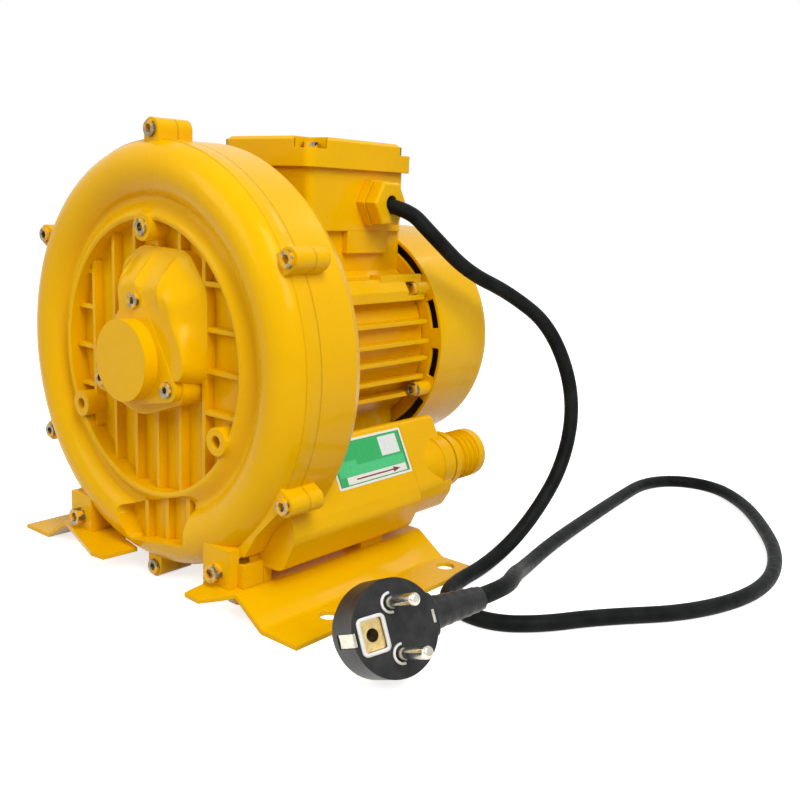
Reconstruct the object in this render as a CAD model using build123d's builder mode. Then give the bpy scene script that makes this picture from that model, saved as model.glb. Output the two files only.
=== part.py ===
"""Side channel blower, built piece by piece in millimetres.

Frame: X across the blower, Y from the impeller cover (-Y) to the motor (+Y),
Z up. The origin lies on the floor, in the middle of the four foot holes.
"""
from build123d import *
from math import cos, radians, sin, sqrt
import os

os.makedirs("parts", exist_ok=True)

# ---- driving dimensions -------------------------------------------------
AXIS_H = 105.5          # shaft axis above the floor
Y0 = -67.0              # screw face of the cover, from the foot hole pattern
LOOSE = 0.05            # radial clearance of a seated, still fit
CASE_R = 96.0           # outside of the blower casing
CAVITY_R = CASE_R - 5.2     # bore that the impeller turns in
CHANNEL_R = CASE_R - 15.8   # middle radius of the side channel
CHANNEL_W = 10.0            # half width of the side channel
BOLT_R = CASE_R + 4.0       # pitch radius of the cover screws
BOLT_ANGLES = (90, 30, -30, -90, -150, 150)
BOSS_R = 4.9
M5, M6, M4 = 2.5, 3.0, 2.0
HOLE = 0.2              # radial room of a screw in its hole
SEAM_Y = Y0 + 12.0      # joint of cover and casing
GASKET = 0.5
FLOOR_Y = Y0 + 6.5      # floor of the dish in the cover
COVER_IN_Y = Y0 + 10.0  # inner face of the cover
CASE_IN_Y = Y0 + 32.0   # inner face of the casing wall
CASE_REAR_Y = Y0 + 44.5
DISH_R = CASE_R - 34.5
CAP_R = 18.4
CAP_SEAT_Y = Y0 - 6.0   # face that the bearing cap is screwed to
CAP_FLANGE = 3.5
HUB_SCREW_R = 26.5
HUB_ANGLES = (86, -22, 206)
SHAFT_R = 7.0           # impeller seat
BODY_R = 8.5            # shaft inside the motor
BEARING_ID, BEARING_OD, BEARING_W = 6.0, 16.0, 10.0
FRONT_BEARING_Y = Y0 - 5.5
FRAME_R = 47.0          # motor tube outside
STATOR_R = 43.0
FIN_R = 54.0
FRAME_REAR_Y = Y0 + 137.0
COWL_R = 60.0
COWL_T = 1.8
COWL_END_Y = Y0 + 183.0
BOX_X, BOX_Y1, BOX_Y2 = 31.5, Y0 + 67.0, Y0 + 136.0
BOX_Z1, BOX_Z2, LID_Z = 58.0, 87.0, 101.5   # above the axis
PAD_Y1, PAD_Y2 = Y0 + 74.0, Y0 + 90.0
DUCT_Y1, DUCT_Y2, DUCT_Y3 = SEAM_Y + GASKET, Y0 + 98.0, Y0 + 126.0
FLANGE_Z = 12.8         # top face of the foot flange, above the floor
SHEET = 2.0             # foot sheet thickness
FOOT_OUT, FOOT_LOW, FOOT_BEND = 102.7, 81.0, 65.0
HOLE_X, HOLE_Y, HOLE_R = 91.0, 41.5, 4.5
LUG_X1, LUG_X2 = 43.0, 60.0
LUG_SCREW_X, LUG_SCREW_Z = 52.0, -86.3
FOOT_BOLT_X, FOOT_BOLT_Y1, FOOT_BOLT_Y2 = 58.5, Y0 + 4.0, Y0 + 82.0
PORT_X, PORT_Z = 74.0, -57.0
BARB_R, BARB_BORE = 12.7, 9.5

SIDE = Plane((0, 0, AXIS_H), x_dir=(0, 1, 0), z_dir=(1, 0, 0))
SPIN = Axis((0, 0, AXIS_H), (0, 1, 0))


def face(y, x=0.0, z=0.0):
    """Plane looking forward (-Y) at y, with its middle x, z from the axis."""
    return Plane((x, y, AXIS_H + z), x_dir=(1, 0, 0), z_dir=(0, -1, 0))


def side_at(angle):
    """Half plane through the axis, angle degrees from +Z toward +X."""
    a = radians(angle)
    return Plane((0, 0, AXIS_H), x_dir=(0, 1, 0), z_dir=(cos(a), 0, -sin(a)))


def spot(radius, angle):
    """X, Z of a place on a circle about the axis."""
    return radius * cos(radians(angle)), radius * sin(radians(angle))


def save(piece, node):
    piece.part.label = node
    export_step(piece.part, f"parts/{node}.step")


def disc(y1, y2, r_out, r_in=0.0, mode=Mode.ADD, at=((0, 0),)):
    """Rings about the axis, or about the places in at, from y1 to y2."""
    with BuildSketch(face(y1)) as ring:
        with Locations(*at):
            Circle(r_out)
            if r_in:
                Circle(r_in, mode=Mode.SUBTRACT)
    extrude(ring.sketch, amount=-(y2 - y1), mode=mode)


def block(x1, x2, y1, y2, z1, z2, mode=Mode.ADD):
    """Box between the given faces; z counts from the axis."""
    with Locations(((x1 + x2) / 2, (y1 + y2) / 2, AXIS_H + (z1 + z2) / 2)):
        Box(abs(x2 - x1), abs(y2 - y1), abs(z2 - z1), mode=mode)


def turned(points, mode=Mode.ADD):
    """Solid turned from (y, radius) points."""
    with BuildSketch(SIDE) as profile:
        Polygon(*points, align=None)
    revolve(profile.sketch, axis=SPIN, mode=mode)


def socket_screws(y, at, r, head_r, head_h, length, toward=-1):
    """Socket head screws seated at y; heads point toward -Y (or +Y)."""
    s = 1 if toward < 0 else -1
    with BuildSketch(face(y)) as heads:
        with Locations(*at):
            Circle(head_r)
    extrude(heads.sketch, amount=s * head_h)
    with BuildSketch(face(y)) as shanks:
        with Locations(*at):
            Circle(r)
    extrude(shanks.sketch, amount=-s * length)
    with BuildSketch(face(y + toward * head_h)) as sockets:
        with Locations(*at):
            RegularPolygon(r * 0.95, 6)
    extrude(sockets.sketch, amount=-s * head_h * 0.55, mode=Mode.SUBTRACT)


# ---- front cover --------------------------------------------------------
BULGE_Y, BULGE_W = Y0 + 7.8, 13.0
BULGE_R = CASE_R - BULGE_W + 0.2
CHANNEL_GAP = 32.0      # half angle of the interrupter inside
RIB_X = [-47.0 + 16.4 * i for i in range(6)]
RIB_T, RIB_Y = 2.4, Y0 + 2.0
PLATEAU = [(-6.0, 0.0), (-6.0, 41.0), (21.0, 42.7), (36.7, 29.7), (36.6, -3.8), (22.0, -6.4)]
POCKET = [(-24.0, -75.0), (-12.0, -88.0), (29.0, -81.0), (29.0, -58.0)]
POCKET_RIBS = ((-5.5, -87.5, -68.5), (9.8, -85.0, -63.5), (25.0, -82.5, -58.5))
CORNER = [(84.0, -44.0), (87.0, -50.0), (70.0, -67.5), (63.0, -78.5), (55.0, -80.0)]
TAPPED_R = 58.1
TAPPED_ANGLES = (90, 210, 330)
bolt_spots = [spot(BOLT_R, a) for a in BOLT_ANGLES]
hub_spots = [spot(HUB_SCREW_R, a) for a in HUB_ANGLES]
tapped_spots = [spot(TAPPED_R, a) for a in TAPPED_ANGLES]
lug_spots = [(s * LUG_SCREW_X, LUG_SCREW_Z) for s in (-1, 1)]


def bolt_bosses(y1, y2):
    """Six screw bosses with necks reaching in to the casing."""
    for angle in BOLT_ANGLES:
        with BuildSketch(face(y1)) as boss:
            with PolarLocations(BOLT_R, 1, start_angle=angle):
                Circle(BOSS_R)
            with PolarLocations(BOLT_R - 6.5, 1, start_angle=angle):
                Rectangle(13.0, 2 * BOSS_R)
        extrude(boss.sketch, amount=-(y2 - y1))


def foot_lugs(y1, y2):
    """Lugs on the foot tongues, and the flat corner over the right one."""
    low = -AXIS_H + FLANGE_Z
    for s in (-1, 1):
        block(s * LUG_X1, s * LUG_X2, y1, y2, low, -75.0)
        block(s * 52.0, s * 63.5, max(y1, Y0 + 0.3), y2, low, -82.0)
    with BuildSketch(face(max(y1, Y0 + 1.5))) as corner:
        Polygon(*CORNER, align=None)
    extrude(corner.sketch, amount=-(y2 - max(y1, Y0 + 1.5)))


with BuildPart() as front_cover:
    turned([(Y0 + 4.0, 0), (Y0 + 4.0, CASE_R), (SEAM_Y, CASE_R), (SEAM_Y, 0)])
    with BuildSketch(side_at(0)):
        with Locations((BULGE_Y, BULGE_R)):
            Circle(BULGE_W)
    revolve(axis=SPIN)
    turned([(Y0 + 5.0, DISH_R - 1), (Y0 - 1.6, DISH_R - 1), (Y0 - 1.6, DISH_R + 0.3),
            (Y0 - 2.3, DISH_R + 1.3), (Y0 - 1.9, DISH_R + 2.6), (Y0 + 1.9, DISH_R + 7.2),
            (Y0 + 2.4, DISH_R + 8.4), (Y0 + 2.0, DISH_R + 10.2), (Y0 + 5.0, DISH_R + 10.2)])
    bolt_bosses(Y0 + 1.5, SEAM_Y)
    foot_lugs(Y0 - 4.7, SEAM_Y)
    # clear the bulge away inside the casing and in the dish
    disc(SEAM_Y, SEAM_Y + 20, 120, mode=Mode.SUBTRACT)
    disc(Y0 - 30, FLOOR_Y, DISH_R, mode=Mode.SUBTRACT)
    disc(COVER_IN_Y, SEAM_Y, CAVITY_R, mode=Mode.SUBTRACT)
    with BuildSketch(side_at(-180 + CHANNEL_GAP)):
        with Locations((COVER_IN_Y, CHANNEL_R)):
            Circle(CHANNEL_W)
    revolve(axis=SPIN, revolution_arc=360 - 2 * CHANNEL_GAP, mode=Mode.SUBTRACT)
    # ribs in the dish, then the three-lobed hub on top of them
    for x in RIB_X:
        half = sqrt(DISH_R**2 - x**2) + 0.5
        block(x - RIB_T / 2, x + RIB_T / 2, RIB_Y, FLOOR_Y, -half, half)
    for z in (34.8, 17.8, -1.4, -20.0):
        block(-sqrt(DISH_R**2 - z**2) - 0.5, RIB_X[0], RIB_Y, FLOOR_Y, z - 1.1, z + 1.1)
    for z in (36.2, 16.8, -1.2, -19.5):
        block(RIB_X[-1], sqrt(DISH_R**2 - z**2) + 0.5, RIB_Y, FLOOR_Y, z - 1.1, z + 1.1)
    # ribbed pocket over the interrupter
    with BuildSketch(face(Y0 - 30)) as pocket:
        Polygon(*POCKET, align=None)
        fillet(pocket.vertices(), 3.0)
    extrude(amount=-34.5, mode=Mode.SUBTRACT)
    for x, z1, z2 in POCKET_RIBS:
        block(x - 1.5, x + 1.5, Y0 + 1.2, Y0 + 5.0, z1, z2)
    with BuildSketch(face(CAP_SEAT_Y)):
        with Locations(*hub_spots):
            Circle(7.5)
        with Locations((0, 0)):
            Circle(25.0)
        make_hull()
    extrude(amount=-(FLOOR_Y - CAP_SEAT_Y))
    with BuildSketch(face(Y0 - 5.0)):
        Polygon(*PLATEAU, align=None)
    extrude(amount=-(FLOOR_Y - Y0 + 5.0))
    disc(Y0 - 4.0, FLOOR_Y, 6.2, at=tapped_spots)
    # bores
    disc(CAP_SEAT_Y, FRONT_BEARING_Y + BEARING_W, BEARING_OD + LOOSE, mode=Mode.SUBTRACT)
    disc(CAP_SEAT_Y, COVER_IN_Y, 12.0, mode=Mode.SUBTRACT)
    disc(CAP_SEAT_Y, CAP_SEAT_Y + 11.0, M4 + HOLE, mode=Mode.SUBTRACT, at=hub_spots)
    disc(Y0 - 4.0, FLOOR_Y, M5 + HOLE, mode=Mode.SUBTRACT, at=tapped_spots)
    disc(Y0 - 30, SEAM_Y, M5 + HOLE, mode=Mode.SUBTRACT, at=bolt_spots)
    disc(Y0 - 30, SEAM_Y, M5 + HOLE, mode=Mode.SUBTRACT, at=lug_spots)
    for s in (-1, 1):
        with Locations(Location((s * FOOT_BOLT_X, FOOT_BOLT_Y1, FLANGE_Z + 6.5))):
            Cylinder(M6 + HOLE, 13.0, mode=Mode.SUBTRACT)
save(front_cover, "front_cover")

with BuildPart() as bearing_cap:
    with BuildSketch(face(CAP_SEAT_Y)):
        with Locations(*hub_spots):
            Circle(5.7)
        with Locations((0, 0)):
            Circle(CAP_R + 2.0)
        make_hull()
    extrude(amount=CAP_FLANGE)
    disc(Y0 - 16.0, CAP_SEAT_Y, CAP_R)
    disc(CAP_SEAT_Y, FRONT_BEARING_Y, BEARING_OD - 0.1)
    disc(Y0 - 11.0, FRONT_BEARING_Y, 12.5, mode=Mode.SUBTRACT)
    disc(Y0 - 20, CAP_SEAT_Y, M4 + HOLE, mode=Mode.SUBTRACT, at=hub_spots)
save(bearing_cap, "bearing_cap")

with BuildPart() as bearing_cap_screws:
    socket_screws(CAP_SEAT_Y - CAP_FLANGE, hub_spots, M4, 3.8, 3.5, 13.0)
save(bearing_cap_screws, "bearing_cap_screws")

with BuildPart() as cover_screws:
    socket_screws(Y0 + 1.5, bolt_spots, M5, 4.1, 4.0, 20.0)
save(cover_screws, "cover_screws")

with BuildPart() as foot_lug_screws:
    socket_screws(Y0 - 4.7, lug_spots, M5, 4.1, 4.0, 22.0)
save(foot_lug_screws, "foot_lug_screws")

with BuildPart() as dish_plug_screw:
    socket_screws(Y0 - 4.0, tapped_spots[:1], M5, 4.3, 3.5, 8.0)
save(dish_plug_screw, "dish_plug_screw")

with BuildPart() as cover_gasket:
    disc(SEAM_Y, SEAM_Y + GASKET, CASE_R)
    bolt_bosses(SEAM_Y, SEAM_Y + GASKET)
    foot_lugs(SEAM_Y, SEAM_Y + GASKET)
    disc(SEAM_Y, SEAM_Y + GASKET, CAVITY_R + 0.4, mode=Mode.SUBTRACT)
    disc(SEAM_Y, SEAM_Y + GASKET, M5 + HOLE, mode=Mode.SUBTRACT, at=bolt_spots + lug_spots)
save(cover_gasket, "cover_gasket")

# ---- rear casing with its two silencer ducts ----------------------------
WALL = 3.5
DUCT = [(48.0, -40.0), (65.2, -32.0), (80.5, -62.6), (82.5, -69.0), (75.0, -85.0),
        (46.0, -86.0), (44.0, -52.0)]
END = [(48.0, -40.0), (65.2, -32.0), (81.0, -63.6), (80.5, -70.0), (74.5, -80.0),
       (46.0, -80.0), (44.0, -52.0)]
REGISTER_R, REGISTER_H = 42.9, 2.5
SEAL_R, SEAL_Y = 15.0, CASE_IN_Y + 4.0
MOTOR_BOLT_R = 52.0
COVER_POSTS = [(53.5, -43.5), (52.0, -74.0)]
motor_spots = [spot(MOTOR_BOLT_R, a) for a in (45, 135, 225, 315)]


def duct_face(points, side):
    Polygon(*[(side * x, z) for x, z in points], align=None)


def duct(points, y1, y2, side, inset=0.0, mode=Mode.ADD, corner=6.0):
    """Rounded duct body from y1 to y2; side is +1 right, -1 left."""
    with BuildSketch(face(y1)) as section:
        duct_face(points, side)
        if inset:
            offset(amount=-inset, mode=Mode.REPLACE)
        # the top edge is sharper than the others
        radius = corner - inset * 0.8
        fillet(section.vertices().sort_by(Axis.Y)[:-1], radius)
        fillet(section.vertices().sort_by(Axis.Y)[-1], radius / 2)
    extrude(section.sketch, amount=-(y2 - y1), mode=mode)


with BuildPart() as rear_casing:
    turned([(SEAM_Y + GASKET, 0), (SEAM_Y + GASKET, CASE_R), (Y0 + 33.0, CASE_R),
            (Y0 + 38.0, CASE_R - 2.8), (Y0 + 42.0, CASE_R - 7.5),
            (CASE_REAR_Y, CASE_R - 12.5), (CASE_REAR_Y, 0)])
    for s in (-1, 1):
        duct(DUCT, DUCT_Y1, DUCT_Y2, s)
        block(s * 54.0, s * 65.0, PAD_Y1, PAD_Y2, -AXIS_H + FLANGE_Z, -84.0)
    bolt_bosses(SEAM_Y + GASKET, Y0 + 20.0)
    foot_lugs(SEAM_Y + GASKET, Y0 + 17.0)
    disc(SEAM_Y, CASE_IN_Y, CAVITY_R, mode=Mode.SUBTRACT)
    with BuildSketch(side_at(-180 + CHANNEL_GAP)):
        with Locations((CASE_IN_Y, CHANNEL_R)):
            Ellipse(9.3, CHANNEL_W)
    revolve(axis=SPIN, revolution_arc=360 - 2 * CHANNEL_GAP, mode=Mode.SUBTRACT)
    disc(CASE_REAR_Y, CASE_REAR_Y + REGISTER_H, REGISTER_R, REGISTER_R - 5.0)
    for s in (-1, 1):
        duct(DUCT, CASE_REAR_Y + 4.0, DUCT_Y2, s, inset=WALL, mode=Mode.SUBTRACT)
        with BuildSketch(face(CASE_IN_Y + 4.0)):
            duct_face(DUCT, s)
            offset(amount=-WALL - 1.0, mode=Mode.REPLACE)
            Circle(CHANNEL_R + 7.0, mode=Mode.INTERSECT)
            Circle(CHANNEL_R - 9.0, mode=Mode.SUBTRACT)
        extrude(amount=-(CASE_REAR_Y + 0.5 - CASE_IN_Y), mode=Mode.SUBTRACT)
        posts = [(s * x, z) for x, z in COVER_POSTS]
        disc(DUCT_Y2 - 12.0, DUCT_Y2, 4.4, at=posts)
        disc(DUCT_Y2 - 12.0, DUCT_Y2, M4 + HOLE, mode=Mode.SUBTRACT, at=posts)
    disc(CASE_IN_Y, CASE_REAR_Y + 5, 10.5, mode=Mode.SUBTRACT)
    disc(SEAL_Y, CASE_REAR_Y + 5, SEAL_R + LOOSE, mode=Mode.SUBTRACT)
    disc(SEAM_Y, Y0 + 22.0, M5 + HOLE, mode=Mode.SUBTRACT, at=bolt_spots)
    disc(SEAM_Y, Y0 + 17.5, M5 + HOLE, mode=Mode.SUBTRACT, at=lug_spots)
    disc(CASE_IN_Y + 3.5, CASE_REAR_Y, M5 + HOLE, mode=Mode.SUBTRACT, at=motor_spots)
    for s in (-1, 1):
        with Locations(Location((s * FOOT_BOLT_X, FOOT_BOLT_Y2, FLANGE_Z + 4.0))):
            Cylinder(M6 + HOLE, 8.1, mode=Mode.SUBTRACT)
save(rear_casing, "rear_casing")

# ---- silencer end covers, linings and hose barbs ------------------------
END_WALL = 5.0
BARB_L, BARB_STEP = 27.0, 1.1
LAND, RIDGES, RIDGE_PITCH = 5.0, 3, 4.0


def silencer_cover(side, node):
    posts = [(side * x, z) for x, z in COVER_POSTS]
    port = ((side * (PORT_X - 6), PORT_Z),)
    with BuildPart() as cover:
        duct(END, DUCT_Y2, DUCT_Y3, side, corner=7.0)
        fillet(cover.faces().sort_by(Axis.Y)[-1].edges(), 3.0)
        # swelling round the spigot, through the sloped wall
        with BuildSketch(face(DUCT_Y3 - 24.0, *port[0])) as root:
            Circle(6.0)
        with BuildSketch(face(DUCT_Y3 - 8.0, *port[0])) as neck:
            Circle(BARB_R + 1.5)
        loft([root.sketch, neck.sketch])
        duct(END, DUCT_Y2, DUCT_Y3 - END_WALL, side, inset=WALL, mode=Mode.SUBTRACT,
             corner=7.0)
        disc(DUCT_Y2, DUCT_Y3 - 1.0, 4.4, at=posts)
        disc(DUCT_Y3 - 9.0, DUCT_Y3 - 0.5, BARB_R + 1.5, at=port)
        disc(DUCT_Y2, DUCT_Y3, M4 + HOLE, mode=Mode.SUBTRACT, at=posts)
        disc(DUCT_Y3 - 1.5, DUCT_Y3, 4.2, mode=Mode.SUBTRACT, at=posts)
        disc(DUCT_Y3 - 9.0, DUCT_Y3, BARB_R - 1.5 + LOOSE, mode=Mode.SUBTRACT, at=port)
    save(cover, node)


def hose_barb(side, node):
    """Ridged spigot, screwed into the end cover, with a plain land at its tip."""
    at = ((side * (PORT_X - 6), PORT_Z),)
    tip = DUCT_Y3 + BARB_L
    with BuildPart() as barb:
        disc(DUCT_Y3 - 9.0, DUCT_Y3, BARB_R - 1.5, at=at)
        disc(DUCT_Y3, DUCT_Y3 + 4.0, BARB_R + 2.0, at=at)
        disc(DUCT_Y3 + 4.0, tip, BARB_R - BARB_STEP, at=at)
        disc(tip - LAND, tip, BARB_R, at=at)
        for i in range(RIDGES):
            y = tip - LAND - RIDGE_PITCH * (i + 1)
            with BuildSketch(face(y, *at[0])) as low:
                Circle(BARB_R)
            with BuildSketch(face(y + RIDGE_PITCH - 1.0, *at[0])) as high:
                Circle(BARB_R - BARB_STEP)
            loft([low.sketch, high.sketch])
        disc(DUCT_Y3 - 9.0, tip, BARB_BORE, mode=Mode.SUBTRACT, at=at)
    save(barb, node)


def silencer_lining(side, node):
    posts = [(side * x, z) for x, z in COVER_POSTS]
    with BuildPart() as lining:
        duct(DUCT, CASE_REAR_Y + 18.0, DUCT_Y2 - 1.0, side, inset=WALL + 0.4)
        disc(CASE_REAR_Y + 18.0, DUCT_Y2, 12.0, mode=Mode.SUBTRACT,
             at=((side * 62.0, -61.0),))
        disc(DUCT_Y2 - 13.0, DUCT_Y2, 5.0, mode=Mode.SUBTRACT, at=posts)
    save(lining, node)


for side, name in ((-1, "left"), (1, "right")):
    silencer_cover(side, f"silencer_cover_{name}")
    hose_barb(side, f"hose_barb_{name}")
    silencer_lining(side, f"silencer_lining_{name}")

with BuildPart() as silencer_cover_screws:
    for s in (-1, 1):
        socket_screws(DUCT_Y3 - 1.5, [(s * x, z) for x, z in COVER_POSTS],
                      M4, 3.8, 4.0, 34.0, toward=1)
save(silencer_cover_screws, "silencer_cover_screws")

# ---- impeller and shaft -------------------------------------------------
GAP = 0.5               # running gap at each face of the impeller
IMP_Y1, IMP_Y2 = COVER_IN_Y + GAP, CASE_IN_Y - GAP
IMP_R, IMP_ROOT = CAVITY_R - 0.8, CHANNEL_R - 10.7
BLADES, BLADE_T = 40, 1.9
HUB_R, HUB_Y1, HUB_Y2 = 15.0, IMP_Y1, IMP_Y2
KEY_W, KEY_H = 4.0, 4.0

with BuildPart() as impeller:
    turned([(HUB_Y1, SHAFT_R + 0.02), (HUB_Y1, HUB_R), (Y0 + 17.0, HUB_R + 3),
            (Y0 + 18.0, IMP_ROOT - 5.5), (IMP_Y1, IMP_ROOT - 3.5), (IMP_Y1, IMP_ROOT),
            (Y0 + 19.6, IMP_ROOT + 4.5), (Y0 + 19.8, IMP_R), (Y0 + 22.2, IMP_R),
            (Y0 + 22.4, IMP_ROOT + 4.5), (IMP_Y2, IMP_ROOT), (IMP_Y2, IMP_ROOT - 3.5),
            (Y0 + 24.0, IMP_ROOT - 5.5), (Y0 + 25.0, HUB_R + 3), (HUB_Y2, HUB_R),
            (HUB_Y2, SHAFT_R + 0.02)])
    with BuildSketch(face(IMP_Y1)):
        with PolarLocations((IMP_ROOT + IMP_R - 0.4) / 2, BLADES):
            Rectangle(IMP_R - IMP_ROOT + 0.4, BLADE_T)
    extrude(amount=-(IMP_Y2 - IMP_Y1))
    with BuildSketch(face(IMP_Y1 + 2)):
        with PolarLocations(40.0, 6):
            Circle(7.0)
    extrude(amount=-20.0, mode=Mode.SUBTRACT)
    block(-KEY_W / 2 - 0.02, KEY_W / 2 + 0.02, HUB_Y1, HUB_Y2, 0, SHAFT_R + 1.9,
          mode=Mode.SUBTRACT)
save(impeller, "impeller")

FRONT_RACE_END = FRONT_BEARING_Y + BEARING_W
REAR_BEARING_Y = FRAME_REAR_Y - 11.0
SHAFT_END_Y = Y0 + 163.0
CORE_Y1, CORE_Y2 = Y0 + 62.0, Y0 + 112.0
FAN_SEAT_R = 5.0
with BuildPart() as shaft:
    turned([(FRONT_BEARING_Y - 1.0, 0), (FRONT_BEARING_Y - 1.0, BEARING_ID - 0.03),
            (FRONT_RACE_END, BEARING_ID - 0.03), (FRONT_RACE_END, SHAFT_R),
            (HUB_Y2, SHAFT_R), (HUB_Y2, BODY_R), (REAR_BEARING_Y - 6.0, BODY_R),
            (REAR_BEARING_Y, BODY_R - 0.7), (REAR_BEARING_Y, BEARING_ID - 0.03),
            (REAR_BEARING_Y + 12.0, BEARING_ID - 0.03), (REAR_BEARING_Y + 12.0, FAN_SEAT_R),
            (SHAFT_END_Y, FAN_SEAT_R), (SHAFT_END_Y, 0)])
    block(-KEY_W / 2, KEY_W / 2, HUB_Y1 + 1.5, HUB_Y2 - 2.0, SHAFT_R - 2.1, SHAFT_R + 1,
          mode=Mode.SUBTRACT)
    disc(HUB_Y1 - 1.5, HUB_Y1 - 0.3, SHAFT_R + 1, SHAFT_R - 0.6, mode=Mode.SUBTRACT)
    disc(SHAFT_END_Y - 3.0, SHAFT_END_Y - 2.0, 6.0, FAN_SEAT_R - 0.5, mode=Mode.SUBTRACT)
save(shaft, "shaft")

with BuildPart() as impeller_key:
    block(-KEY_W / 2 + 0.02, KEY_W / 2 - 0.02, HUB_Y1 + 1.6, HUB_Y2 - 2.1,
          SHAFT_R - 2.1, SHAFT_R + 1.8)
save(impeller_key, "impeller_key")


def circlip(y1, y2, groove_r, outer_r, node):
    with BuildPart() as clip:
        disc(y1, y2, outer_r, groove_r)
        block(-1.2, 1.2, y1, y2, -outer_r - 1, 0, mode=Mode.SUBTRACT)
    save(clip, node)


circlip(HUB_Y1 - 1.4, HUB_Y1 - 0.4, SHAFT_R - 0.55, SHAFT_R + 2.4, "impeller_circlip")
circlip(SHAFT_END_Y - 2.9, SHAFT_END_Y - 2.1, FAN_SEAT_R - 0.45, FAN_SEAT_R + 2.0,
        "fan_circlip")

BALL_R, BALL_PITCH = 2.3, 11.0


def bearing(y, name):
    """Deep groove ball bearing as inner ring, outer ring and balls."""
    mid = y + BEARING_W / 2
    with BuildPart() as inner:
        disc(y, y + BEARING_W, 8.3, BEARING_ID)
    save(inner, f"{name}_bearing_inner")
    with BuildPart() as outer:
        disc(y, y + BEARING_W, BEARING_OD, 13.7)
        disc(y + 0.4, y + 1.0, 13.8, 8.9)
        disc(y + BEARING_W - 1.0, y + BEARING_W - 0.4, 13.8, 8.9)
    save(outer, f"{name}_bearing_outer")
    with BuildPart() as balls:
        for i in range(8):
            x, z = spot(BALL_PITCH, 45.0 * i)
            with Locations((x, mid, AXIS_H + z)):
                Sphere(BALL_R)
    save(balls, f"{name}_bearing_balls")


bearing(FRONT_BEARING_Y, "front")
bearing(REAR_BEARING_Y, "rear")

with BuildPart() as shaft_seal:
    disc(SEAL_Y, SEAL_Y + 6.0, SEAL_R, BODY_R + 0.4)
    disc(SEAL_Y + 1.2, SEAL_Y + 6.0, SEAL_R - 1.5, BODY_R + 2.0, mode=Mode.SUBTRACT)
save(shaft_seal, "shaft_seal")

with BuildPart() as rotor_core:
    disc(CORE_Y1, CORE_Y2, 25.6, BODY_R + 0.02)
    disc(CORE_Y1 - 5.0, CORE_Y1, 23.5, 14.0)
    disc(CORE_Y2, CORE_Y2 + 5.0, 23.5, 14.0)
save(rotor_core, "rotor_core")

# ---- motor --------------------------------------------------------------
FIN_T, FIN_PITCH = 2.2, 9.7
FIN_Z = (13.0, 3.0, -6.0, -16.0, -25.0)
SHOULDER = [(30.0, 35.0), (46.0, 35.0), (50.0, 29.0), (50.0, 24.0), (38.0, 24.0)]
FLANGE_T = 6.0
LEAD_R = 6.0
LEAD_Y = Y0 + 85.0
SLOTS = 18
BOX_MID_Y = (BOX_Y1 + BOX_Y2) / 2
COWL_BOSS_R = 55.5
COWL_BOSS_ANGLES = (32, -24, 148, 204)
cowl_spots = [spot(COWL_BOSS_R, a) for a in COWL_BOSS_ANGLES]
box_screw_ys = (BOX_Y1 + 15.0, BOX_Y2 - 15.0)

with BuildPart() as stator_core:
    disc(CORE_Y1, CORE_Y2, STATOR_R - LOOSE, 26.2)
    with BuildSketch(face(CORE_Y1)):
        with PolarLocations(33.5, SLOTS):
            Rectangle(9.0, 5.0)
    extrude(amount=-(CORE_Y2 - CORE_Y1), mode=Mode.SUBTRACT)
save(stator_core, "stator_core")

with BuildPart() as stator_winding:
    with BuildSketch(face(CORE_Y1)):
        with PolarLocations(33.5, SLOTS):
            Rectangle(8.6, 4.6)
    extrude(amount=-(CORE_Y2 - CORE_Y1))
    for y1, y2 in ((CORE_Y1 - 9.0, CORE_Y1), (CORE_Y2, CORE_Y2 + 9.0)):
        disc(y1, y2, 38.0, 29.0)
save(stator_winding, "stator_winding")

with BuildPart() as motor_frame:
    disc(CASE_REAR_Y, FRAME_REAR_Y, FRAME_R, STATOR_R)
    disc(CASE_REAR_Y, CASE_REAR_Y + FLANGE_T, 58.0, STATOR_R)
    y1, y2 = CASE_REAR_Y + FLANGE_T, FRAME_REAR_Y - 3.0
    for s in (-1, 1):
        for z in FIN_Z:
            block(s * 40.0, s * sqrt(FIN_R**2 - z**2), y1, y2, z - FIN_T / 2, z + FIN_T / 2)
        with BuildSketch(face(y1)):
            Polygon(*[(s * x, z) for x, z in SHOULDER], align=None)
        extrude(amount=-(y2 - y1))
        block(s * 40.0, s * 47.0, BOX_Y1 + 35.0, y2, 26.0, 37.0)
    for i in range(-3, 4):
        x = i * FIN_PITCH
        block(x - FIN_T / 2, x + FIN_T / 2, y1, y2, -sqrt(FIN_R**2 - x**2), -34.0)
    block(-28.0, 28.0, BOX_Y1 + 3.0, FRAME_REAR_Y, 33.0, BOX_Z1)
    block(-BOX_X, BOX_X, Y0 + 94.0, Y0 + 124.0, 47.0, BOX_Z1)
    disc(CASE_REAR_Y, FRAME_REAR_Y, STATOR_R, mode=Mode.SUBTRACT)
    disc(FRAME_REAR_Y - 9.0, FRAME_REAR_Y, 3.9, at=cowl_spots)
    disc(FRAME_REAR_Y - 9.0, FRAME_REAR_Y, M4 + HOLE, mode=Mode.SUBTRACT, at=cowl_spots)
    disc(FRAME_REAR_Y - 16.0, FRAME_REAR_Y - 9.0, 3.9, mode=Mode.SUBTRACT, at=cowl_spots)
    disc(y1, y1 + 30.0, 5.2, mode=Mode.SUBTRACT, at=motor_spots)
    disc(CASE_REAR_Y, y1, M5 + HOLE, mode=Mode.SUBTRACT, at=motor_spots)
    with Locations(Location((0, LEAD_Y, AXIS_H + 50.0))):
        Cylinder(LEAD_R, 30.0, mode=Mode.SUBTRACT)
    for y in box_screw_ys:
        with Locations(Location((20.0, y, AXIS_H + BOX_Z1 - 5.0))):
            Cylinder(M4 + HOLE, 10.0, mode=Mode.SUBTRACT)
save(motor_frame, "motor_frame")

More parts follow.
